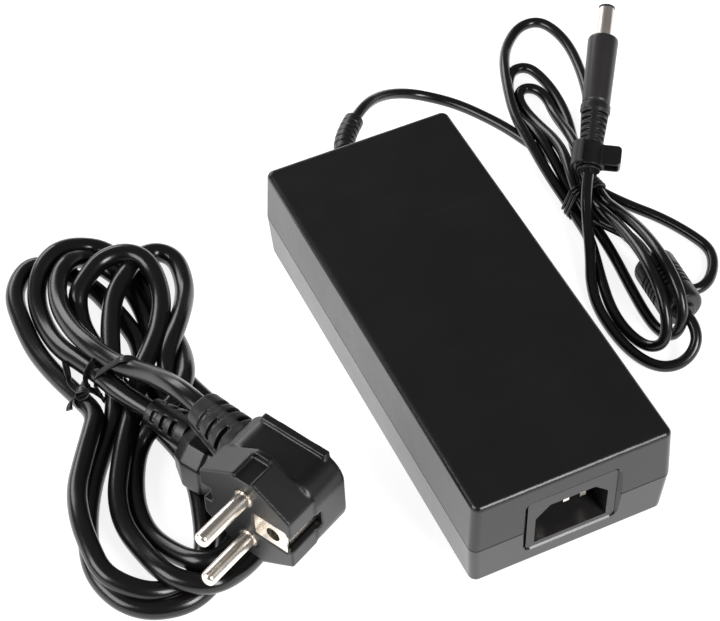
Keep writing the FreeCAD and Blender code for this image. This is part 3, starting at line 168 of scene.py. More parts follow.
mains_wide_low_loop = [
    (-99.1, 29.3, 9.5), (-103.3, 21.9, 9.0), (-108.5, 14.2, 8.5), (-113.5, 5.8, 7.5), (-118.3, -3.9, 7.0),
    (-120.3, -14.9, 7.0), (-118.5, -26.2, 7.5), (-116.0, -38.0, 10.0), (-110.0, -45.0, 10.0),
    (-103.0, -48.0, 10.0), (-94.0, -44.0, 6.0), (-85.0, -38.0, 3.3), (-79.0, -29.0, 3.3),
    (-76.0, -18.0, 3.3), (-75.4, -6.0, 3.3), (-75.2, 6.0, 3.3),
]
mains_plug_run = [
    (-77.2, 17.0, 3.3), (-80.6, 28.0, 3.3), (-84.0, 41.0, 3.3), (-84.2, 54.0, 3.3), (-82.9, 66.0, 3.3),
    (-83.4, 77.0, 3.3), (-85.6, 84.0, 3.3), (-88.4, 90.0, 3.3), (-93.0, 95.0, 5.0), (-100.0, 91.0, 10.0),
    (-106.0, 84.0, 10.0), (-109.0, 72.0, 11.0), (-108.8, 58.0, 14.6), (-106.6, 46.4, 18.0),
    (-102.8, 36.6, 19.2), (-98.8, 29.2, 21.8), (-95.5, 21.0, 26.6), (-93.0, 11.3, 32.3),
    (-90.7, 1.5, 36.45), (-88.45, -6.4, 36.7),
]
mains_cord_route = (
    mains_connector_run + mains_inner_low_loop + mains_small_high_loop + mains_outer_low_loop
    + mains_large_high_loop + mains_left_low_loop + mains_middle_high_loop + mains_wide_low_loop
    + mains_plug_run
)

# Ties: where each one's plane stands, which way it faces, how far to each side and how high its strands
# lie, how many turns it has and how far apart, and half its section's width and thickness
output_tie_centre = (73.5, 45.4)
output_tie_heading = 98.0
output_tie_reach = (-8.5, 5.5)
output_tie_top = 10.5
output_tie_turns = 3
output_tie_pitch = 1.45
output_tie_half_width = 0.55
output_tie_half_thickness = 0.5
output_twist_root = (67.4, 45.0, 4.4)
output_twist_end = (65.2, 43.0, 3.2)
output_twist_turns = 1.5
output_twist_radius = 0.6
mains_tie_centre = (-103.6, 32.4)
mains_tie_heading = 68.0
mains_tie_reach = (-8.0, 17.0)
mains_tie_top = 26.0
mains_tie_turns = 1
mains_tie_pitch = 2.3
mains_tie_half_width = 1.25
mains_tie_half_thickness = 0.42
mains_tie_slack = 0.35
mains_tie_waist = 0.5
mains_knot = [
    (-109.0, 33.2, 9.0), (-110.6, 34.2, 11.4), (-113.4, 36.2, 12.6), (-116.4, 37.2, 11.0),
    (-116.0, 34.8, 9.8), (-113.0, 34.2, 10.8), (-111.8, 36.6, 12.6), (-113.6, 38.6, 12.0),
]
mains_tails = [
    [(-114.8, 36.6, 10.8), (-116.9, 40.6, 10.6), (-116.0, 45.0, 11.2), (-115.0, 50.2, 10.4)],
    [(-112.4, 35.8, 10.4), (-112.6, 38.2, 13.6), (-110.4, 39.8, 17.2), (-107.6, 40.6, 18.4)],
    [(-114.0, 36.2, 10.6), (-117.0, 36.2, 10.4), (-119.4, 35.4, 8.2), (-119.8, 34.6, 6.4)],
]
mains_tail_twists = (1.2, -1.6, 1.0)

# The output plug, along its own axis from the cord's end to the tip
output_plug_rear = (73.4, 46.7, 16.2)
output_plug_heading = (0.521, 0.774, 0.358)
groove_place = 24.3
grip_place = 25.1
barrel_place = 50.3
rim_place = 61.9
tip_place = 62.5
groove_radius = 4.5
grip_rear_radius = 4.6
grip_front_radius = 5.3
barrel_radius = 2.75
rim_radius = 2.85
bore_radius = 2.05
grip_bore_radius = 2.0
grip_shoulder = 0.7
grip_shoulder_drop = 0.6
grip_swell = 0.25
grip_swell_length = 0.5
barrel_root = 4.0
rim_root = 6.0
rim_slope = 1.0
rim_lip = 0.2
rim_chamfer = 0.1
rim_hole_radius = 0.6
grip_rounding = (0.1, 0.15, 0.1, 0.2, 1.0, 0.5)
barrel_rounding = (0.1, 0.1, 0.1)
rim_rounding = (0.1, 0.15, 0.15, 0.1, 0.1)

# The ferrite's cover, along its own axis from the front neck to the rear one
ferrite_front = (73.2, -19.2, 11.2)
ferrite_rear = (74.5, 6.2, 11.2)
ferrite_neck = 1.6
ferrite_neck_radius = 3.6
ferrite_radius = 7.2
ferrite_rib_count = 5
ferrite_rib_pitch = 1.9
ferrite_rib_width = 0.9
ferrite_rib_depth = 0.5
ferrite_rib_rounding = (0.16, 0.12, 0.12, 0.16)
ferrite_bore_radius = 1.8
ferrite_neck_flare = 0.3
ferrite_neck_rounding = 0.4
ferrite_end_rounding = 2.2

# The strain relief: its flange and neck in the case's wall, then its line, its core and its ribs
relief_flange_start = (0.0, 71.7, 19.0)
relief_flange_thickness = 1.5
relief_flange_radius = 5.8
relief_neck_radius = 4.1
relief_neck_end = 77.9
relief_line = [(0.0, 73.4, 19.0), (0.0, 85.5, 19.0), (4.4, 95.6, 18.7), (11.3, 102.2, 17.9)]
relief_first_rib = 4.2
relief_core_radius = 2.9
relief_root_radius = 3.7
relief_tip_radius = 3.5
relief_rib_count = 9
relief_collar = 3.0
relief_groove_share = 0.08
relief_flank_share = 0.07
relief_end_rounding = 0.35
relief_neck_bore = 0.8
relief_neck_rounding = (0.2, 0.2, 0.1, 0.3)

# Mouldings with rounded edges: how near two points are to be one, then each node's body, its finish, its
# cells' size and its passes of smoothing
same_point = 0.001
softened_nodes = {
    "mains_plug_body": ("mains_lead", "plug", 0.40, 5),
    "mains_plug_relief": ("mains_lead", "plug", 0.28, 3),
    "mains_connector_body": ("mains_lead", "plug", 0.36, 5),
    "mains_connector_relief": ("mains_lead", "plug", 0.28, 3),
    "output_plug_relief": ("brick", "relief", 0.16, 1),
    "cord_clip": ("cord_clip", "plug", 0.18, 4),
}

# How finely surfaces are divided: points round a section or along a curve, then millimetres along a path
turned_columns = 96
sleeve_columns = 72
strap_columns = 20
corner_points = 5
strand_points = 48
loop_points = 180
tail_points = 12
relief_line_points = 40
tie_step = 0.5
tail_step = 0.6
twist_step = 0.4
relief_step = 0.12

# Finishes: how much paler than its plastic a scratch and a worn edge with its painted sheen are, and how far
# the tone, a smudge and tarnish change the roughness
scratch_lift = 2.2
wear_and_sheen_lift = 2.6
roughness_by_tone = 0.12
roughness_by_smudge = 0.10
roughness_by_tarnish = 0.16


# Camera

def make_camera():
    """The camera's axes come from its azimuth and elevation, and then roll about its line of sight."""
    azimuth, elevation, roll = (math.radians(a) for a in (camera_azimuth, camera_elevation, camera_roll))
    back = Vector((
        math.sin(azimuth) * math.cos(elevation),
        -math.cos(azimuth) * math.cos(elevation),
        math.sin(elevation),
    ))
    right = Vector((math.cos(azimuth), math.sin(azimuth), 0.0))
    up = back.cross(right)
    rolled_right = right * math.cos(roll) + up * math.sin(roll)
    rolled_up = up * math.cos(roll) - right * math.sin(roll)
    data = bpy.data.cameras.new("camera")
    data.lens = camera_lens
    data.sensor_width = camera_sensor
    data.sensor_fit = "HORIZONTAL"
    data.clip_start = 0.01
    camera = bpy.data.objects.new("camera", data)
    turn = Matrix((rolled_right, rolled_up, back)).transposed().to_4x4()
    camera.matrix_world = Matrix.Translation(Vector(camera_place) * millimetre) @ turn
    bpy.context.scene.collection.objects.link(camera)
    bpy.context.scene.camera = camera


# Cords

def metres(points):
    """Millimetre points as an array in metres."""
    return np.array(points, float) * millimetre


def cord_curve(name, route, diameter):
    """One open NURBS spline of order 3, with the route as its control points and a round section."""
    data = bpy.data.curves.new(name, "CURVE")
    data.dimensions = "3D"
    spline = data.splines.new("NURBS")
    spline.points.add(len(route) - 1)
    places = np.c_[metres(route), np.ones(len(route))]
    spline.points.foreach_set("co", places.ravel())
    spline.order_u = 3
    spline.use_endpoint_u = True
    spline.resolution_u = 8
    data.bevel_depth = diameter / 2 * millimetre
    data.bevel_resolution = 7
    data.use_fill_caps = True
    cord = bpy.data.objects.new(name, data)
    bpy.context.scene.collection.objects.link(cord)
    return cord


def centreline(cord):
    """The points of a cord's own line, read from its curve with no bevel."""
    line = cord.data.copy()
    line.bevel_depth = 0.0
    holder = bpy.data.objects.new("centreline", line)
    bpy.context.scene.collection.objects.link(holder)
    bpy.context.view_layer.update()
    graph = bpy.context.evaluated_depsgraph_get()
    mesh = bpy.data.meshes.new_from_object(holder.evaluated_get(graph))
    points = np.zeros(len(mesh.vertices) * 3)
    mesh.vertices.foreach_get("co", points)
    bpy.data.objects.remove(holder)
    bpy.data.curves.remove(line)
    bpy.data.meshes.remove(mesh)
    return points.reshape(-1, 3)


def line_length(points):
    """The sum of the distances from each point to the next."""
    return float(np.linalg.norm(np.diff(points, axis=0), axis=1).sum())


# Surfaces

def new_piece(name, places, faces, material):
    """A smooth-shaded mesh with one material, as an object at the origin."""
    mesh = bpy.data.meshes.new(name)
    mesh.from_pydata(places, [], faces)
    mesh.materials.append(material)
    mesh.polygons.foreach_set("use_smooth", np.ones(len(faces), bool))
    mesh.update()
    piece = bpy.data.objects.new(name, mesh)
    bpy.context.scene.collection.objects.link(piece)
    return piece


def joined_surface(name, grids, material):
    """Closed grids of points as one piece that faces outwards. A grid's rows lie along it and its columns
    round it: its last column meets its first, and its two end rows are filled."""
    places, faces, first = [], [], 0
    for points in grids:
        rows, columns = points.shape[:2]
        index = first + np.arange(rows * columns).reshape(rows, columns)
        following = np.roll(index, -1, axis=1)
        quads = np.stack([index[:-1], following[:-1], following[1:], index[1:]], axis=-1).reshape(-1, 4)
        faces += quads.tolist() + [index[0][::-1].tolist(), index[-1].tolist()]
        places += points.reshape(-1, 3).tolist()
        first += rows * columns
    return new_piece(name, places, faces, material)


def square_to(axis):
    """Two directions square to an axis and to each other: a level one and the one above it. An array of axes
    gives an array of each."""
    side = np.cross(axis, upwards)
    side /= np.linalg.norm(side, axis=-1, keepdims=True)
    return side, np.cross(side, axis)


def heading_along(path):
    """A path's direction at each of its points: the slope between its neighbours, made one long."""
    slope = np.gradient(path, axis=0)
    return slope / np.linalg.norm(slope, axis=1)[:, None]


def rounded(profile, radii):
    """A profile's corners turned into arcs. Each inner point gives way to a quadratic curve that starts and
    ends its radius away from the corner, or half the neighbouring side away where that is less."""
    points = np.array(profile, float)
    share = np.linspace(0.0, 1.0, corner_points)[:, None]
    out = [points[:1]]
    for before, corner, after, radius in zip(points[:-2], points[1:-1], points[2:], radii):
        back, ahead = before - corner, after - corner
        back_length, ahead_length = np.linalg.norm(back), np.linalg.norm(ahead)
        start = corner + back * min(radius / back_length, 0.5)
        end = corner + ahead * min(radius / ahead_length, 0.5)
        out.append((1 - share) ** 2 * start + 2 * share * (1 - share) * corner + share ** 2 * end)
    out.append(points[-1:])
    return np.concatenate(out)


def turned_grid(profile, start, heading):
    """A profile of places along an axis and radii, carried once round the axis. A point is the start, plus
    its place times the heading, plus its radius times a direction square to it."""
    axis = np.array(heading, float)
    axis /= np.linalg.norm(axis)
    side, up = square_to(axis)
    angle = np.linspace(0.0, 2 * math.pi, turned_columns, endpoint=False)
    outward = np.cos(angle)[:, None] * side + np.sin(angle)[:, None] * up
    profile = np.asarray(profile, float)
    middle = np.array(start, float) + profile[:, :1] * axis
    return (middle[:, None, :] + profile[:, 1][:, None, None] * outward[None]) * millimetre


def smooth_path(points, count):
    """Points along a clamped quadratic B-spline, as many as count asks for between each two knots."""
    points = np.array(points, float)
    middles = (points[1:-2] + points[2:-1]) / 2
    starts = np.concatenate([points[:1], middles])
    ends = np.concatenate([middles, points[-1:]])
    share = np.linspace(0.0, 1.0, count, endpoint=False)[None, :, None]
    corners = points[1:-1]
    curve = ((1 - share) ** 2 * starts[:, None] + 2 * share * (1 - share) * corners[:, None]
             + share ** 2 * ends[:, None])
    return np.concatenate([curve.reshape(-1, 3), points[-1:]])


def distance_along(points):
    """How far along a line each of its points is: the running sum of the distances between neighbours."""
    return np.r_[0.0, np.cumsum(np.linalg.norm(np.diff(points, axis=0), axis=1))]


def even_path(points, spacing):
    """The same line with its points an even distance apart."""
    along = distance_along(points)
    wanted = np.linspace(0.0, along[-1], max(3, int(along[-1] / spacing) + 1))
    return np.stack([np.interp(wanted, along, points[:, axis]) for axis in range(3)], axis=1)


def round_sweep(path, radius):
    """A round sleeve along a path, with its own radius at each point. A point is the path's point plus the
    radius times a direction square to the path: the angle's cosine sideways and its sine upwards."""
    side, up = square_to(heading_along(path))
    angle = np.linspace(0.0, 2 * math.pi, sleeve_columns, endpoint=False)[None, :, None]
    outward = np.cos(angle) * side[:, None, :] + np.sin(angle) * up[:, None, :]
    return (path[:, None, :] + radius[:, None, None] * outward) * millimetre


def swept_grid(path, across, half_width, half_thickness, waist=0.0, twist=0.0):
    """A flat strap along a path. Its section is an ellipse that is pinched in its middle: the height is the
    sine of the angle, times the half thickness, times one minus the waist plus the waist times the squared
    cosine. Across is the section's wide direction, and twist turns the section about the path as it goes."""
    tangent = heading_along(path)
    wide = np.broadcast_to(np.asarray(across, float), path.shape).copy()
    wide -= (wide * tangent).sum(axis=1)[:, None] * tangent
    wide /= np.linalg.norm(wide, axis=1)[:, None]
    high = np.cross(tangent, wide)
    turn = np.linspace(0.0, twist, len(path))[:, None]
    wide, high = np.cos(turn) * wide + np.sin(turn) * high, np.cos(turn) * high - np.sin(turn) * wide
    angle = np.linspace(0.0, 2 * math.pi, strap_columns, endpoint=False)
    x = half_width * np.cos(angle)
    y = half_thickness * np.sin(angle) * (1 - waist + waist * np.cos(angle) ** 2)
    section = x[None, :, None] * wide[:, None, :] + y[None, :, None] * high[:, None, :]
    return (path[:, None, :] + section) * millimetre


def softened(name, node, material, cell, passes):
    """A copy of a node's mesh, rebuilt from even cells and then smoothed, so that its edges are rounded as
    a moulding's are. A larger cell or more passes give a larger rounding."""
    mesh = nodes[node].data.copy()
    mesh.name = name
    shape = bmesh.new()
    shape.from_mesh(mesh)
    bmesh.ops.remove_doubles(shape, verts=shape.verts, dist=same_point * millimetre)
    shape.to_mesh(mesh)
    shape.free()
    mesh.materials.clear()
    mesh.materials.append(material)
    mesh.polygons.foreach_set("material_index", np.zeros(len(mesh.polygons), np.int32))
    piece = bpy.data.objects.new(name, mesh)
    bpy.context.scene.collection.objects.link(piece)
    cells = piece.modifiers.new("even cells", "REMESH")
    cells.mode = "VOXEL"
    cells.voxel_size = cell * millimetre
    cells.use_smooth_shade = True
    smooth = piece.modifiers.new("rounded edges", "SMOOTH")
    smooth.factor = 0.5
    smooth.iterations = passes
    return piece


# Materials

def new_tree(name):
    """A material with an empty node tree."""
    material = bpy.data.materials.new(name)
    material.use_nodes = True
    material.node_tree.nodes.clear()
    return material, material.node_tree


def fill_inputs(tree, node, inputs):
    """Gives inputs their values. A value is a number, a colour, or another node's output."""
    for key, value in inputs.items():
        if isinstance(value, bpy.types.NodeSocket):
            tree.links.new(value, node.inputs[key])
        else:
            node.inputs[key].default_value = value


def add(tree, kind, inputs=None, **settings):
    """One node of that kind, with its settings and its inputs' values."""
    node = tree.nodes.new(kind)
    for key, value in settings.items():
        setattr(node, key, value)
    fill_inputs(tree, node, inputs or {})
    return node


def new_group(name, wanted, given):
    """A shader node group with named inputs, each with its starting value, and named outputs."""
    tree = bpy.data.node_groups.new(name, "ShaderNodeTree")
    for socket, kind, value in wanted:
        made = tree.interface.new_socket(name=socket, in_out="INPUT", socket_type=kind)
        if value is not None:
            made.default_value = value
    for socket, kind in given:
        tree.interface.new_socket(name=socket, in_out="OUTPUT", socket_type=kind)
    return tree, tree.nodes.new("NodeGroupInput"), tree.nodes.new("NodeGroupOutput")


def math_node(tree, operation, first, second=0.0):
    """The output of one sum, product or other operation."""
    return add(tree, "ShaderNodeMath", {0: first, 1: second}, operation=operation).outputs[0]


def moulded_grain_group():
    """The fine spark-eroded grain of a moulding tool: small rounded cells, Pitch of them to a metre, with a
    softer noise under them. Height is the grain, and Tone is a slow variation of the surface about one
    half."""
    tree, start, end = new_group(
        "moulded grain",
        [("Place", "NodeSocketVector", None), ("Pitch", "NodeSocketFloat", 2200.0)],
        [("Height", "NodeSocketFloat"), ("Tone", "NodeSocketFloat")],
    )
    place, pitch = start.outputs["Place"], start.outputs["Pitch"]
    cells = add(tree, "ShaderNodeTexVoronoi", {"Vector": place, "Scale": pitch, "Smoothness": 0.6},
                feature="SMOOTH_F1")
    soft_pitch = math_node(tree, "MULTIPLY", pitch, 0.45)
    soft = add(tree, "ShaderNodeTexNoise",
               {"Vector": place, "Scale": soft_pitch, "Detail": 3.0, "Roughness": 0.6})
    height = math_node(tree, "ADD", math_node(tree, "MULTIPLY", cells.outputs["Distance"], 0.6),
                       math_node(tree, "MULTIPLY", soft.outputs["Fac"], 0.7))
    slow = add(tree, "ShaderNodeTexNoise",
               {"Vector": place, "Scale": 38.0, "Detail": 4.0, "Roughness": 0.55})
    fill_inputs(tree, end, {"Height": height, "Tone": slow.outputs["Fac"]})
    return tree


def handling_group():
    """Marks of handling: fine scratches in two directions, and smudges that change the gloss. Scratches is
    a mask of thin lines and Smudge a soft mask."""
    tree, start, end = new_group(
        "handling marks",
        [("Place", "NodeSocketVector", None), ("Amount", "NodeSocketFloat", 0.5)],
        [("Scratches", "NodeSocketFloat"), ("Smudge", "NodeSocketFloat")],
    )
    masks = []
    for turn, seed in ((0.6, 0.0), (-0.9, 3.0)):
        stretched = add(tree, "ShaderNodeMapping", {
            "Vector": start.outputs["Place"], "Rotation": (0.3, 0.2, turn), "Scale": (14.0, 900.0, 300.0),
            "Location": (seed, seed, 0.0),
        })
        lines = add(tree, "ShaderNodeTexNoise",
                    {"Vector": stretched.outputs[0], "Scale": 1.0, "Detail": 2.0})
        mask = add(tree, "ShaderNodeMapRange",
                   {"Value": lines.outputs["Fac"], "From Min": 0.68, "From Max": 0.78})
        masks.append(mask.outputs[0])
    both = math_node(tree, "MAXIMUM", masks[0], masks[1])
    amount = start.outputs["Amount"]
    blot = add(tree, "ShaderNodeTexNoise",
               {"Vector": start.outputs["Place"], "Scale": 55.0, "Detail": 5.0, "Distortion": 0.8})
    smudge = add(tree, "ShaderNodeMapRange",
                 {"Value": blot.outputs["Fac"], "From Min": 0.48, "From Max": 0.72})
    fill_inputs(tree, end, {
        "Scratches": math_node(tree, "MULTIPLY", both, amount),
        "Smudge": math_node(tree, "MULTIPLY", smudge.outputs[0], amount),
    })
    return tree


def edge_sheen_and_wear_group():
    """Worn edges with a painted sheen: one where the surface turns sharply within Width, and nothing on flat
    parts.
    """
    tree, start, end = new_group(
        "worn and sheened edges",
        [("Width", "NodeSocketFloat", 0.0006), ("Amount", "NodeSocketFloat", 0.4)],
        [("Mask", "NodeSocketFloat")],
    )
    bevelled = add(tree, "ShaderNodeBevel", {"Radius": start.outputs["Width"]}, samples=4)
    plain = add(tree, "ShaderNodeNewGeometry")
    facing = add(tree, "ShaderNodeVectorMath", {0: bevelled.outputs[0], 1: plain.outputs["Normal"]},
                 operation="DOT_PRODUCT")
    turned = math_node(tree, "SUBTRACT", 1.0, facing.outputs["Value"])
    mask = add(tree, "ShaderNodeMapRange", {"Value": turned, "From Min": 0.01, "From Max": 0.12})
    fill_inputs(tree, end, {"Mask": math_node(tree, "MULTIPLY", mask.outputs[0], start.outputs["Amount"])})
    return tree


moulded_grain = moulded_grain_group()
handling_marks = handling_group()
edge_sheen_and_wear = edge_sheen_and_wear_group()


def use_group(tree, group, inputs):
    """One of the shared groups, placed in a material with its own values."""
    return add(tree, "ShaderNodeGroup", inputs, node_tree=group)


def mixed(tree, share, first, second):
    """A colour between two colours. Inputs 6 and 7 and output 2 are the mix node's colour ones."""
    return add(tree, "ShaderNodeMix", {0: share, 6: first, 7: second}, data_type="RGBA").outputs[2]


def shade(colour, factor):
    """A colour made lighter or darker, with its alpha."""
    return tuple(channel * factor for channel in colour) + (1.0,)


def moulded(name, colour, roughness, pitch=2200.0, depth=0.00002, marks=0.3, wear_and_sheen=0.3, mottle=0.25):
    """Moulded plastic or rubber: a tool's grain in the bump, as deep as depth says, slow tone in the colour,
    smudges in the gloss, paler scratches, and paler edges that are worn and carry a painted sheen."""
    material, tree = new_tree(name)
    place = add(tree, "ShaderNodeTexCoord").outputs["Object"]
    grain = use_group(tree, moulded_grain, {"Place": place, "Pitch": pitch})
    touch = use_group(tree, handling_marks, {"Place": place, "Amount": marks})
    edges = use_group(tree, edge_sheen_and_wear, {"Amount": wear_and_sheen})
    ground = mixed(tree, grain.outputs["Tone"], shade(colour, 1 - mottle), shade(colour, 1 + mottle))
    scratched = mixed(tree, touch.outputs["Scratches"], ground, shade(colour, scratch_lift))
    # Paler edges: partly wear and partly a painted sheen
    worn_and_sheened = mixed(tree, edges.outputs["Mask"], scratched, shade(colour, wear_and_sheen_lift))
    gloss = math_node(tree, "ADD", roughness - roughness_by_tone / 2,
                      math_node(tree, "MULTIPLY", grain.outputs["Tone"], roughness_by_tone))
    gloss = math_node(tree, "ADD", gloss,
                      math_node(tree, "MULTIPLY", touch.outputs["Smudge"], roughness_by_smudge))
    bump = add(tree, "ShaderNodeBump",
               {"Height": grain.outputs["Height"], "Strength": 1.0, "Distance": depth})
    plastic = add(tree, "ShaderNodeBsdfPrincipled", {
        "Base Color": worn_and_sheened, "Roughness": gloss, "Normal": bump.outputs[0],
    })
    add(tree, "ShaderNodeOutputMaterial", {"Surface": plastic.outputs[0]})
    return material


def metal(name, colour, roughness, brushed=(1.0, 1.0, 30.0), tarnish=0.3):
    """Plated or bare metal: fine turning or drawing lines in the bump, a slow tarnish in colour and gloss,
    and brighter edges, worn and with a painted sheen."""
    material, tree = new_tree(name)
    place = add(tree, "ShaderNodeTexCoord").outputs["Object"]
    lines = add(tree, "ShaderNodeMapping", {"Vector": place, "Scale": brushed})
    fine = add(tree, "ShaderNodeTexNoise", {"Vector": lines.outputs[0], "Scale": 700.0, "Detail": 3.0})
    slow = add(tree, "ShaderNodeTexNoise", {"Vector": place, "Scale": 160.0, "Detail": 4.0})
    edges = use_group(tree, edge_sheen_and_wear, {"Width": 0.0003, "Amount": 0.35})
    aged = mixed(tree, math_node(tree, "MULTIPLY", slow.outputs["Fac"], tarnish), shade(colour, 1.0),
                 shade((colour[0] * 0.75, colour[1] * 0.62, colour[2] * 0.48), 1.0))
    # Brighter edges: partly wear and partly a painted sheen
    plating_with_edge_sheen = mixed(tree, edges.outputs["Mask"], aged, shade(colour, 1.15))
    gloss = math_node(tree, "ADD", roughness - roughness_by_tarnish / 2,
                      math_node(tree, "MULTIPLY", slow.outputs["Fac"], roughness_by_tarnish))
    bump = add(tree, "ShaderNodeBump",
               {"Height": fine.outputs["Fac"], "Strength": 0.5, "Distance": 0.00001})
    plating = add(tree, "ShaderNodeBsdfPrincipled", {
        "Base Color": plating_with_edge_sheen, "Roughness": gloss, "Normal": bump.outputs[0], "Metallic": 1.0,
    })
    add(tree, "ShaderNodeOutputMaterial", {"Surface": plating.outputs[0]})
    return material


def make_finishes():
    """Every finish of the object, by the names that the pieces use."""
    return {
        "case": moulded("upper case black", (0.0066, 0.0062, 0.0063), 0.28, pitch=2600.0, depth=0.000012,
                        wear_and_sheen=0.15),
        "lower": moulded("lower case black", (0.020, 0.0187, 0.0187), 0.22, pitch=2600.0, depth=0.000006,
                         wear_and_sheen=0.15),
        "inlet": moulded("inlet black", (0.020, 0.0184, 0.0187), 0.34, pitch=3200.0, depth=0.000006,
                         wear_and_sheen=0.2),
        "relief": moulded("relief rubber", (0.0085, 0.0080, 0.0082), 0.38, pitch=2400.0, depth=0.00001),
        "jacket": moulded("cord jacket", (0.0048, 0.0042, 0.0040), 0.22, pitch=1500.0, depth=0.000008,
                          marks=0.2, wear_and_sheen=0.0, mottle=0.2),
        "plug": moulded("plug black", (0.0042, 0.0039, 0.0040), 0.35, pitch=2600.0, depth=0.00001),
        "grip": moulded("grip black", (0.020, 0.0180, 0.0182), 0.36, pitch=2600.0, depth=0.000008,
                        wear_and_sheen=0.1),
        "barrel": metal("barrel nickel", (0.78, 0.72, 0.68), 0.36, brushed=(1.0, 1.0, 1.0), tarnish=0.25),
        "tie": moulded("tie black", (0.009, 0.009, 0.0095), 0.24, pitch=1800.0, depth=0.00001, wear_and_sheen=0.0),
        "nickel": metal("bright nickel", (0.90, 0.84, 0.76), 0.26, tarnish=0.2),
        "brass": metal("brass", (0.78, 0.57, 0.24), 0.28),
        "ferrite": moulded("ferrite grey", (0.05, 0.05, 0.055), 0.55, pitch=1800.0, depth=0.00003),
        "board": moulded("board green", (0.02, 0.12, 0.045), 0.35, pitch=1200.0, depth=0.00001),
        "aluminium": metal("aluminium", (0.80, 0.80, 0.81), 0.38, brushed=(1.0, 40.0, 1.0)),
        "sheet": moulded("insulation sheet", (0.72, 0.72, 0.68), 0.5, pitch=900.0, mottle=0.08),
        "package": moulded("package black", (0.018, 0.018, 0.019), 0.5),
        "copper": metal("enamelled copper", (0.83, 0.36, 0.16), 0.30, brushed=(1.0, 1.0, 8.0)),
        "sleeve": moulded("can sleeve", (0.012, 0.016, 0.03), 0.3, pitch=1500.0, depth=0.000006),
        "film": moulded("film yellow", (0.75, 0.52, 0.06), 0.4, pitch=1500.0, depth=0.00001, mottle=0.1),
        "disc": moulded("disc blue", (0.03, 0.13, 0.42), 0.4, pitch=1800.0, depth=0.00001, mottle=0.12),
        "ceramic": moulded("fuse ceramic", (0.70, 0.66, 0.58), 0.35, pitch=1500.0, depth=0.000006,
                           mottle=0.08),
        "wire": moulded("wire red", (0.42, 0.02, 0.02), 0.4, pitch=1500.0, depth=0.00001, mottle=0.1),
    }


# Which of the object's own solids have each finish
finish_of_nodes = {
    "case": ["upper_case"],
    "lower": ["lower_case"],
    "inlet": ["inlet_housing"],
    "nickel": ["inlet_line_pin", "inlet_neutral_pin", "inlet_earth_pin", "mains_plug_line_pin",
               "mains_plug_neutral_pin", "side_earth_clips", "earth_socket_contact"],
    "brass": ["plug_inner_contact", "plug_center_pin", "connector_contacts"],
    "ferrite": ["ferrite_core", "common_mode_choke_core", "transformer_core", "boost_inductor_core"],
    "board": ["circuit_board"],
    "aluminium": ["heat_spreader_bottom", "heat_spreader_top", "primary_heat_sink", "secondary_heat_sink"],
    "sheet": ["insulation_sheet"],
    "package": ["bridge_rectifier", "primary_transistors", "output_rectifier", "control_chip",
                "optocoupler", "thermistor"],
    "copper": ["common_mode_choke_windings", "boost_inductor_winding"],
    "sleeve": ["bulk_capacitor", "output_capacitors"],
    "film": ["x_capacitor", "transformer_winding"],
    "disc": ["y_capacitors"],
    "ceramic": ["mains_fuse"],
    "wire": ["output_wires"],
}


def finish_nodes(finishes):
    """Puts each finish in every material slot of the solids on its list."""
    for finish, names in finish_of_nodes.items():
        for name in names:
            for slot in nodes[name].material_slots:
                slot.material = finishes[finish]


# Studio

def soft_light(name, place, target, width, height, power):
    """A rectangular soft light that faces its target."""
    data = bpy.data.lights.new(name, "AREA")
    data.shape = "RECTANGLE"
    data.size = width
    data.size_y = height
    data.energy = power
    light = bpy.data.objects.new(name, data)
    light.location = place
    light.rotation_euler = (Vector(target) - Vector(place)).to_track_quat("-Z", "Y").to_euler()
    bpy.context.scene.collection.objects.link(light)


def make_floor():
    """A wide white floor. Its own glow brings it to white, and its diffuse share keeps the object's
    shadow."""
    half, height = floor_half_width, floor_height
    corners = [(-half, -half, height), (half, -half, height), (half, half, height), (-half, half, height)]
    material, tree = new_tree("white floor")
    ray = add(tree, "ShaderNodeLightPath")
    mirrored = math_node(tree, "MAXIMUM", ray.outputs["Is Glossy Ray"], ray.outputs["Is Transmission Ray"])
    strength = math_node(tree, "ADD",
                         math_node(tree, "MULTIPLY", ray.outputs["Is Camera Ray"], floor_glow_seen),
                         math_node(tree, "MULTIPLY", mirrored, floor_glow_mirrored))
    matte = add(tree, "ShaderNodeBsdfDiffuse", {"Color": floor_grey})
    glow = add(tree, "ShaderNodeEmission", {"Color": white, "Strength": strength})
    both = add(tree, "ShaderNodeAddShader", {0: matte.outputs[0], 1: glow.outputs[0]})
    add(tree, "ShaderNodeOutputMaterial", {"Surface": both.outputs[0]})
    new_piece("floor", corners, [(0, 1, 2, 3)], material)


def make_world():
    """A dim even surround, and white where the camera looks past the floor."""
    world = bpy.data.worlds.new("surround")
    bpy.context.scene.world = world
    world.use_nodes = True
    tree = world.node_tree
    tree.nodes.clear()
    ray = add(tree, "ShaderNodeLightPath")
    past_floor = math_node(tree, "MULTIPLY", ray.outputs["Is Camera Ray"], 1.0 - surround_strength)
    strength = math_node(tree, "ADD", surround_strength, past_floor)
    background = add(tree, "ShaderNodeBackground", {"Color": white, "Strength": strength})
    add(tree, "ShaderNodeOutputWorld", {"Surface": background.outputs[0]})


def make_studio():
    """Soft lights in front, at the left and behind, a dim surround and the floor."""
    for name, place, width, height, power in soft_lights:
        soft_light(name, place, light_aim, width, height, power)
    make_world()
    make_floor()


# The object


def stand_in(piece, body, *replaced):
    """Says what a new piece rides on and what it stands for."""
    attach(piece, body)
    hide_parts(*replaced)
    return piece


def lay_cord(name, route, diameter, finish, body, *replaced):
    """A cord's curve with its finish, and the body that it rides on."""
    cord = cord_curve(name, route, diameter)
    cord.data.materials.append(finish)
    return stand_in(cord, body, *replaced)


def declare_cord(cord):
    """Measures the length of the cord's own line, and does nothing with it."""
    line_length(centreline(cord))


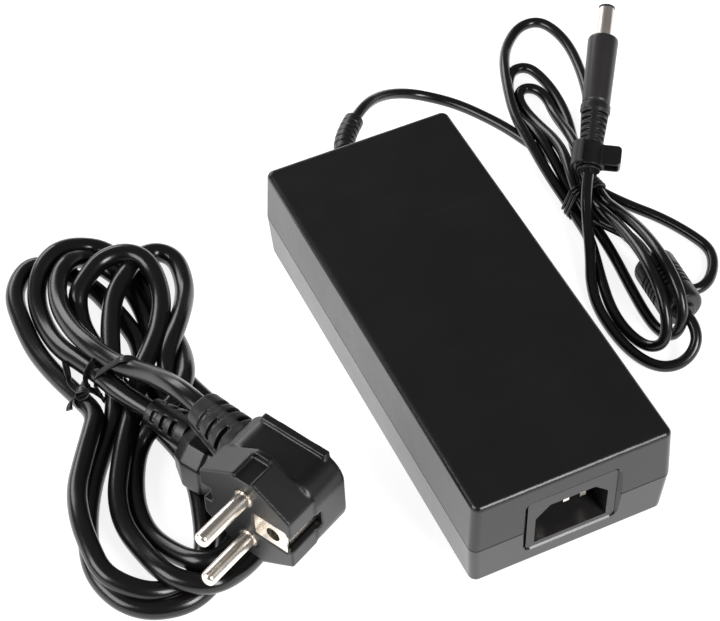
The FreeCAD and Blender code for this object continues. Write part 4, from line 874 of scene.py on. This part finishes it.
def tie_loop(line, centre, heading, reach, top, cord_radius, half_thickness):
    """The tightest loop round a bundle in a plane, and the plane's normal. Each strand is a circle where it
    crosses the plane, and in each direction the loop's point is the furthest circle's centre plus the
    circle's radius in that direction. The loop stays above the floor by its own half thickness. Strands past
    the reach or the top are left out."""
    turn = math.radians(heading)
    normal = np.array((math.cos(turn), math.sin(turn), 0.0))
    side = np.array((math.sin(turn), -math.cos(turn), 0.0))
    middle = np.array((*centre, 0.0))
    before, after = line[:-1] - middle, line[1:] - middle
    first, second = before @ normal, after @ normal
    crosses = first * second < 0
    share = (first[crosses] / (first[crosses] - second[crosses]))[:, None]
    places = before[crosses] + share * (after[crosses] - before[crosses])
    flat = np.c_[places @ side, places[:, 2]]
    flat = flat[(flat[:, 0] > reach[0]) & (flat[:, 0] < reach[1]) & (flat[:, 1] < top)]
    angle = np.linspace(math.pi, 3 * math.pi, loop_points, endpoint=False)
    outward = np.c_[np.cos(angle), np.sin(angle)]
    hull = flat[(flat @ outward.T).argmax(axis=0)] + (cord_radius + half_thickness) * outward
    hull[:, 1] = np.maximum(hull[:, 1], half_thickness)
    return middle + hull[:, :1] * side + hull[:, 1:] * np.array(upwards), normal


def wound_tie(loop, normal, turns, pitch):
    """The loop repeated as turns that lie beside each other, each a pitch further along the bundle."""
    count = len(loop)
    path = np.tile(loop, (turns, 1))
    shift = (np.arange(len(path)) / count - turns / 2) * pitch
    return even_path(path + shift[:, None] * normal, tie_step)


def twisted_pair(root, end, turns, radius):
    """Two strands that wind round the line from root to end, half a turn apart."""
    root, end = np.array(root, float), np.array(end, float)
    side, up = square_to((end - root) / np.linalg.norm(end - root))
    share = np.linspace(0.0, 1.0, strand_points)[:, None]
    strands = []
    for start in (0.0, math.pi):
        angle = start + share * turns * 2 * math.pi
        strands.append(root + share * (end - root) + radius * (np.cos(angle) * side + np.sin(angle) * up))
    return strands


def output_tie(line, finish):
    """The thin cord's twist tie: turns round its bundle, and its two ends twisted together at the left."""
    loop, normal = tie_loop(line, output_tie_centre, output_tie_heading, output_tie_reach, output_tie_top,
                            thin_cord / 2, output_tie_half_thickness)
    wide, thick = output_tie_half_width, output_tie_half_thickness
    grids = [swept_grid(wound_tie(loop, normal, output_tie_turns, output_tie_pitch), normal, wide, thick)]
    for strand in twisted_pair(output_twist_root, output_twist_end, output_twist_turns, output_twist_radius):
        grids.append(swept_grid(even_path(strand, twist_step), upwards, wide, thick))
    stand_in(joined_surface("output_twist_tie", grids, finish), "brick", "output_cord_tie")


def mains_tie(line, finish):
    """The thick cord's tie: a strap round its bundle, its knot at the left and its free ends."""
    loop, normal = tie_loop(line, mains_tie_centre, mains_tie_heading, mains_tie_reach, mains_tie_top,
                            thick_cord / 2 + mains_tie_slack, mains_tie_half_thickness)
    paths = [(wound_tie(loop, normal, mains_tie_turns, mains_tie_pitch), 0.0)]
    for tail, twist in [(mains_knot, 0.0), *zip(mains_tails, mains_tail_twists)]:
        paths.append((even_path(smooth_path(tail, tail_points), tail_step), twist))
    grids = [
        swept_grid(path, normal, mains_tie_half_width, mains_tie_half_thickness, mains_tie_waist, twist)
        for path, twist in paths
    ]
    stand_in(joined_surface("mains_strap_tie", grids, finish), "mains_lead", "mains_cord_tie")


def output_plug(finishes):
    """The plug's grip, its bare barrel and the black rim at its tip, each a profile turned round the plug's
    axis."""
    def turned_piece(name, profile, radii, finish):
        """One profile with its corners rounded, turned round the plug's axis."""
        grid = turned_grid(rounded(profile, radii), output_plug_rear, output_plug_heading)
        return joined_surface(name, [grid], finishes[finish])

    grip = turned_piece("plug_grip", [
        (groove_place, grip_bore_radius), (groove_place, groove_radius), (grip_place, groove_radius),
        (grip_place, grip_rear_radius), (grip_place + grip_swell_length, grip_rear_radius + grip_swell),
        (barrel_place - grip_shoulder, grip_front_radius),
        (barrel_place, grip_front_radius - grip_shoulder_drop), (barrel_place, barrel_radius),
    ], grip_rounding, "grip")
    stand_in(grip, "brick", "output_plug_grip")
    barrel = turned_piece("barrel", [
        (barrel_place - barrel_root, barrel_radius), (barrel_place, barrel_radius),
        (rim_place, barrel_radius), (rim_place, bore_radius), (barrel_place, bore_radius),
    ], barrel_rounding, "barrel")
    stand_in(barrel, "brick", "plug_barrel")
    rim = turned_piece("barrel_rim", [
        (rim_place - rim_slope, bore_radius), (rim_place - rim_lip, rim_radius),
        (tip_place - rim_chamfer, rim_radius), (tip_place, rim_radius - rim_lip), (tip_place, bore_radius),
        (rim_place - rim_root, bore_radius - rim_chamfer), (rim_place - rim_root, rim_hole_radius),
    ], rim_rounding, "package")
    stand_in(rim, "brick", "plug_insulator")


def ferrite(finishes):
    """The moulded cover over the ferrite: a barrel with rounded ends, a neck at each end and ribs round its
    middle, all one profile turned round the cover's axis."""
    heading = np.subtract(ferrite_rear, ferrite_front)
    length = float(np.linalg.norm(heading))
    shell_start, shell_end = ferrite_neck, length - ferrite_neck
    middle = (shell_start + shell_end) / 2
    flare_radius = ferrite_neck_radius + ferrite_neck_flare
    groove = ferrite_radius - ferrite_rib_depth
    profile = [(0.0, ferrite_bore_radius), (0.0, ferrite_neck_radius), (shell_start, flare_radius),
               (shell_start, ferrite_radius)]
    radii = [ferrite_neck_rounding, ferrite_neck_rounding, ferrite_end_rounding]
    for rib in range(ferrite_rib_count):
        place = middle + (rib - (ferrite_rib_count - 1) / 2) * ferrite_rib_pitch
        low, high = place - ferrite_rib_width / 2, place + ferrite_rib_width / 2
        profile += [(low, ferrite_radius), (low, groove), (high, groove), (high, ferrite_radius)]
        radii += ferrite_rib_rounding
    profile += [(shell_end, ferrite_radius), (shell_end, flare_radius), (length, ferrite_neck_radius),
                (length, ferrite_bore_radius)]
    radii += [ferrite_end_rounding, ferrite_neck_rounding, ferrite_neck_rounding]
    cover = joined_surface("ferrite_shell", [turned_grid(rounded(profile, radii), ferrite_front, heading)],
                           finishes["plug"])
    stand_in(cover, "brick", "ferrite_cover")


def relief_sleeve_grid():
    """The ribbed sleeve that bends with the cord: its radius goes up and down along the line, high on each
    rib and low in each groove, with a plain collar at the end."""
    path = even_path(smooth_path(relief_line, relief_line_points), relief_step)
    along = distance_along(path)
    ribbed = along[-1] - relief_collar
    pitch = (ribbed - relief_first_rib) / relief_rib_count
    phase = ((along - relief_first_rib) % pitch) / pitch
    edge = np.clip((np.minimum(phase, 1 - phase) - relief_groove_share) / relief_flank_share, 0.0, 1.0)
    height = np.where(along < ribbed, edge * edge * (3 - 2 * edge), 1.0) * (along > relief_first_rib)
    outer = relief_root_radius + (relief_tip_radius - relief_root_radius) * along / along[-1]
    radius = relief_core_radius + (outer - relief_core_radius) * height
    radius[-1] -= relief_end_rounding
    return round_sweep(path, radius)


def relief_neck_grid():
    """The flange inside the case's wall and the neck that passes through it, turned round its axis."""
    length = relief_neck_end - relief_flange_start[1]
    profile = [
        (0.0, relief_neck_bore), (0.0, relief_flange_radius),
        (relief_flange_thickness, relief_flange_radius), (relief_flange_thickness, relief_neck_radius),
        (length, relief_neck_radius), (length, relief_neck_bore),
    ]
    return turned_grid(rounded(profile, relief_neck_rounding), relief_flange_start, (0.0, 1.0, 0.0))


def strain_relief(finishes):
    """The strain relief: its ribbed sleeve, with its flange and neck in the case's wall."""
    sleeve = joined_surface("ribbed_relief", [relief_sleeve_grid(), relief_neck_grid()], finishes["relief"])
    stand_in(sleeve, "brick", "output_strain_relief")


# Everything in its order

make_camera()
finishes = make_finishes()
output_cord = lay_cord("output_cord", output_cord_route, thin_cord, finishes["jacket"], "brick",
                       "output_cord_hank", "output_cord_stretch", "ferrite_cord_stretches",
                       "plug_cord_stretch")
mains_cord = lay_cord("mains_cord", mains_cord_route, thick_cord, finishes["jacket"], "mains_lead",
                      "mains_cord_hank", "plug_side_cord_stretch", "connector_cord_stretch")
output_tie(centreline(output_cord) / millimetre, finishes["tie"])
mains_tie(centreline(mains_cord) / millimetre, finishes["tie"])
output_plug(finishes)
ferrite(finishes)
strain_relief(finishes)
for node, (body, finish, cell, passes) in softened_nodes.items():
    stand_in(softened(node + "_rounded", node, finishes[finish], cell, passes), body, node)
declare_cord(output_cord)
declare_cord(mains_cord)
finish_nodes(finishes)
make_studio()
bpy.context.scene.view_settings.view_transform = "Standard"
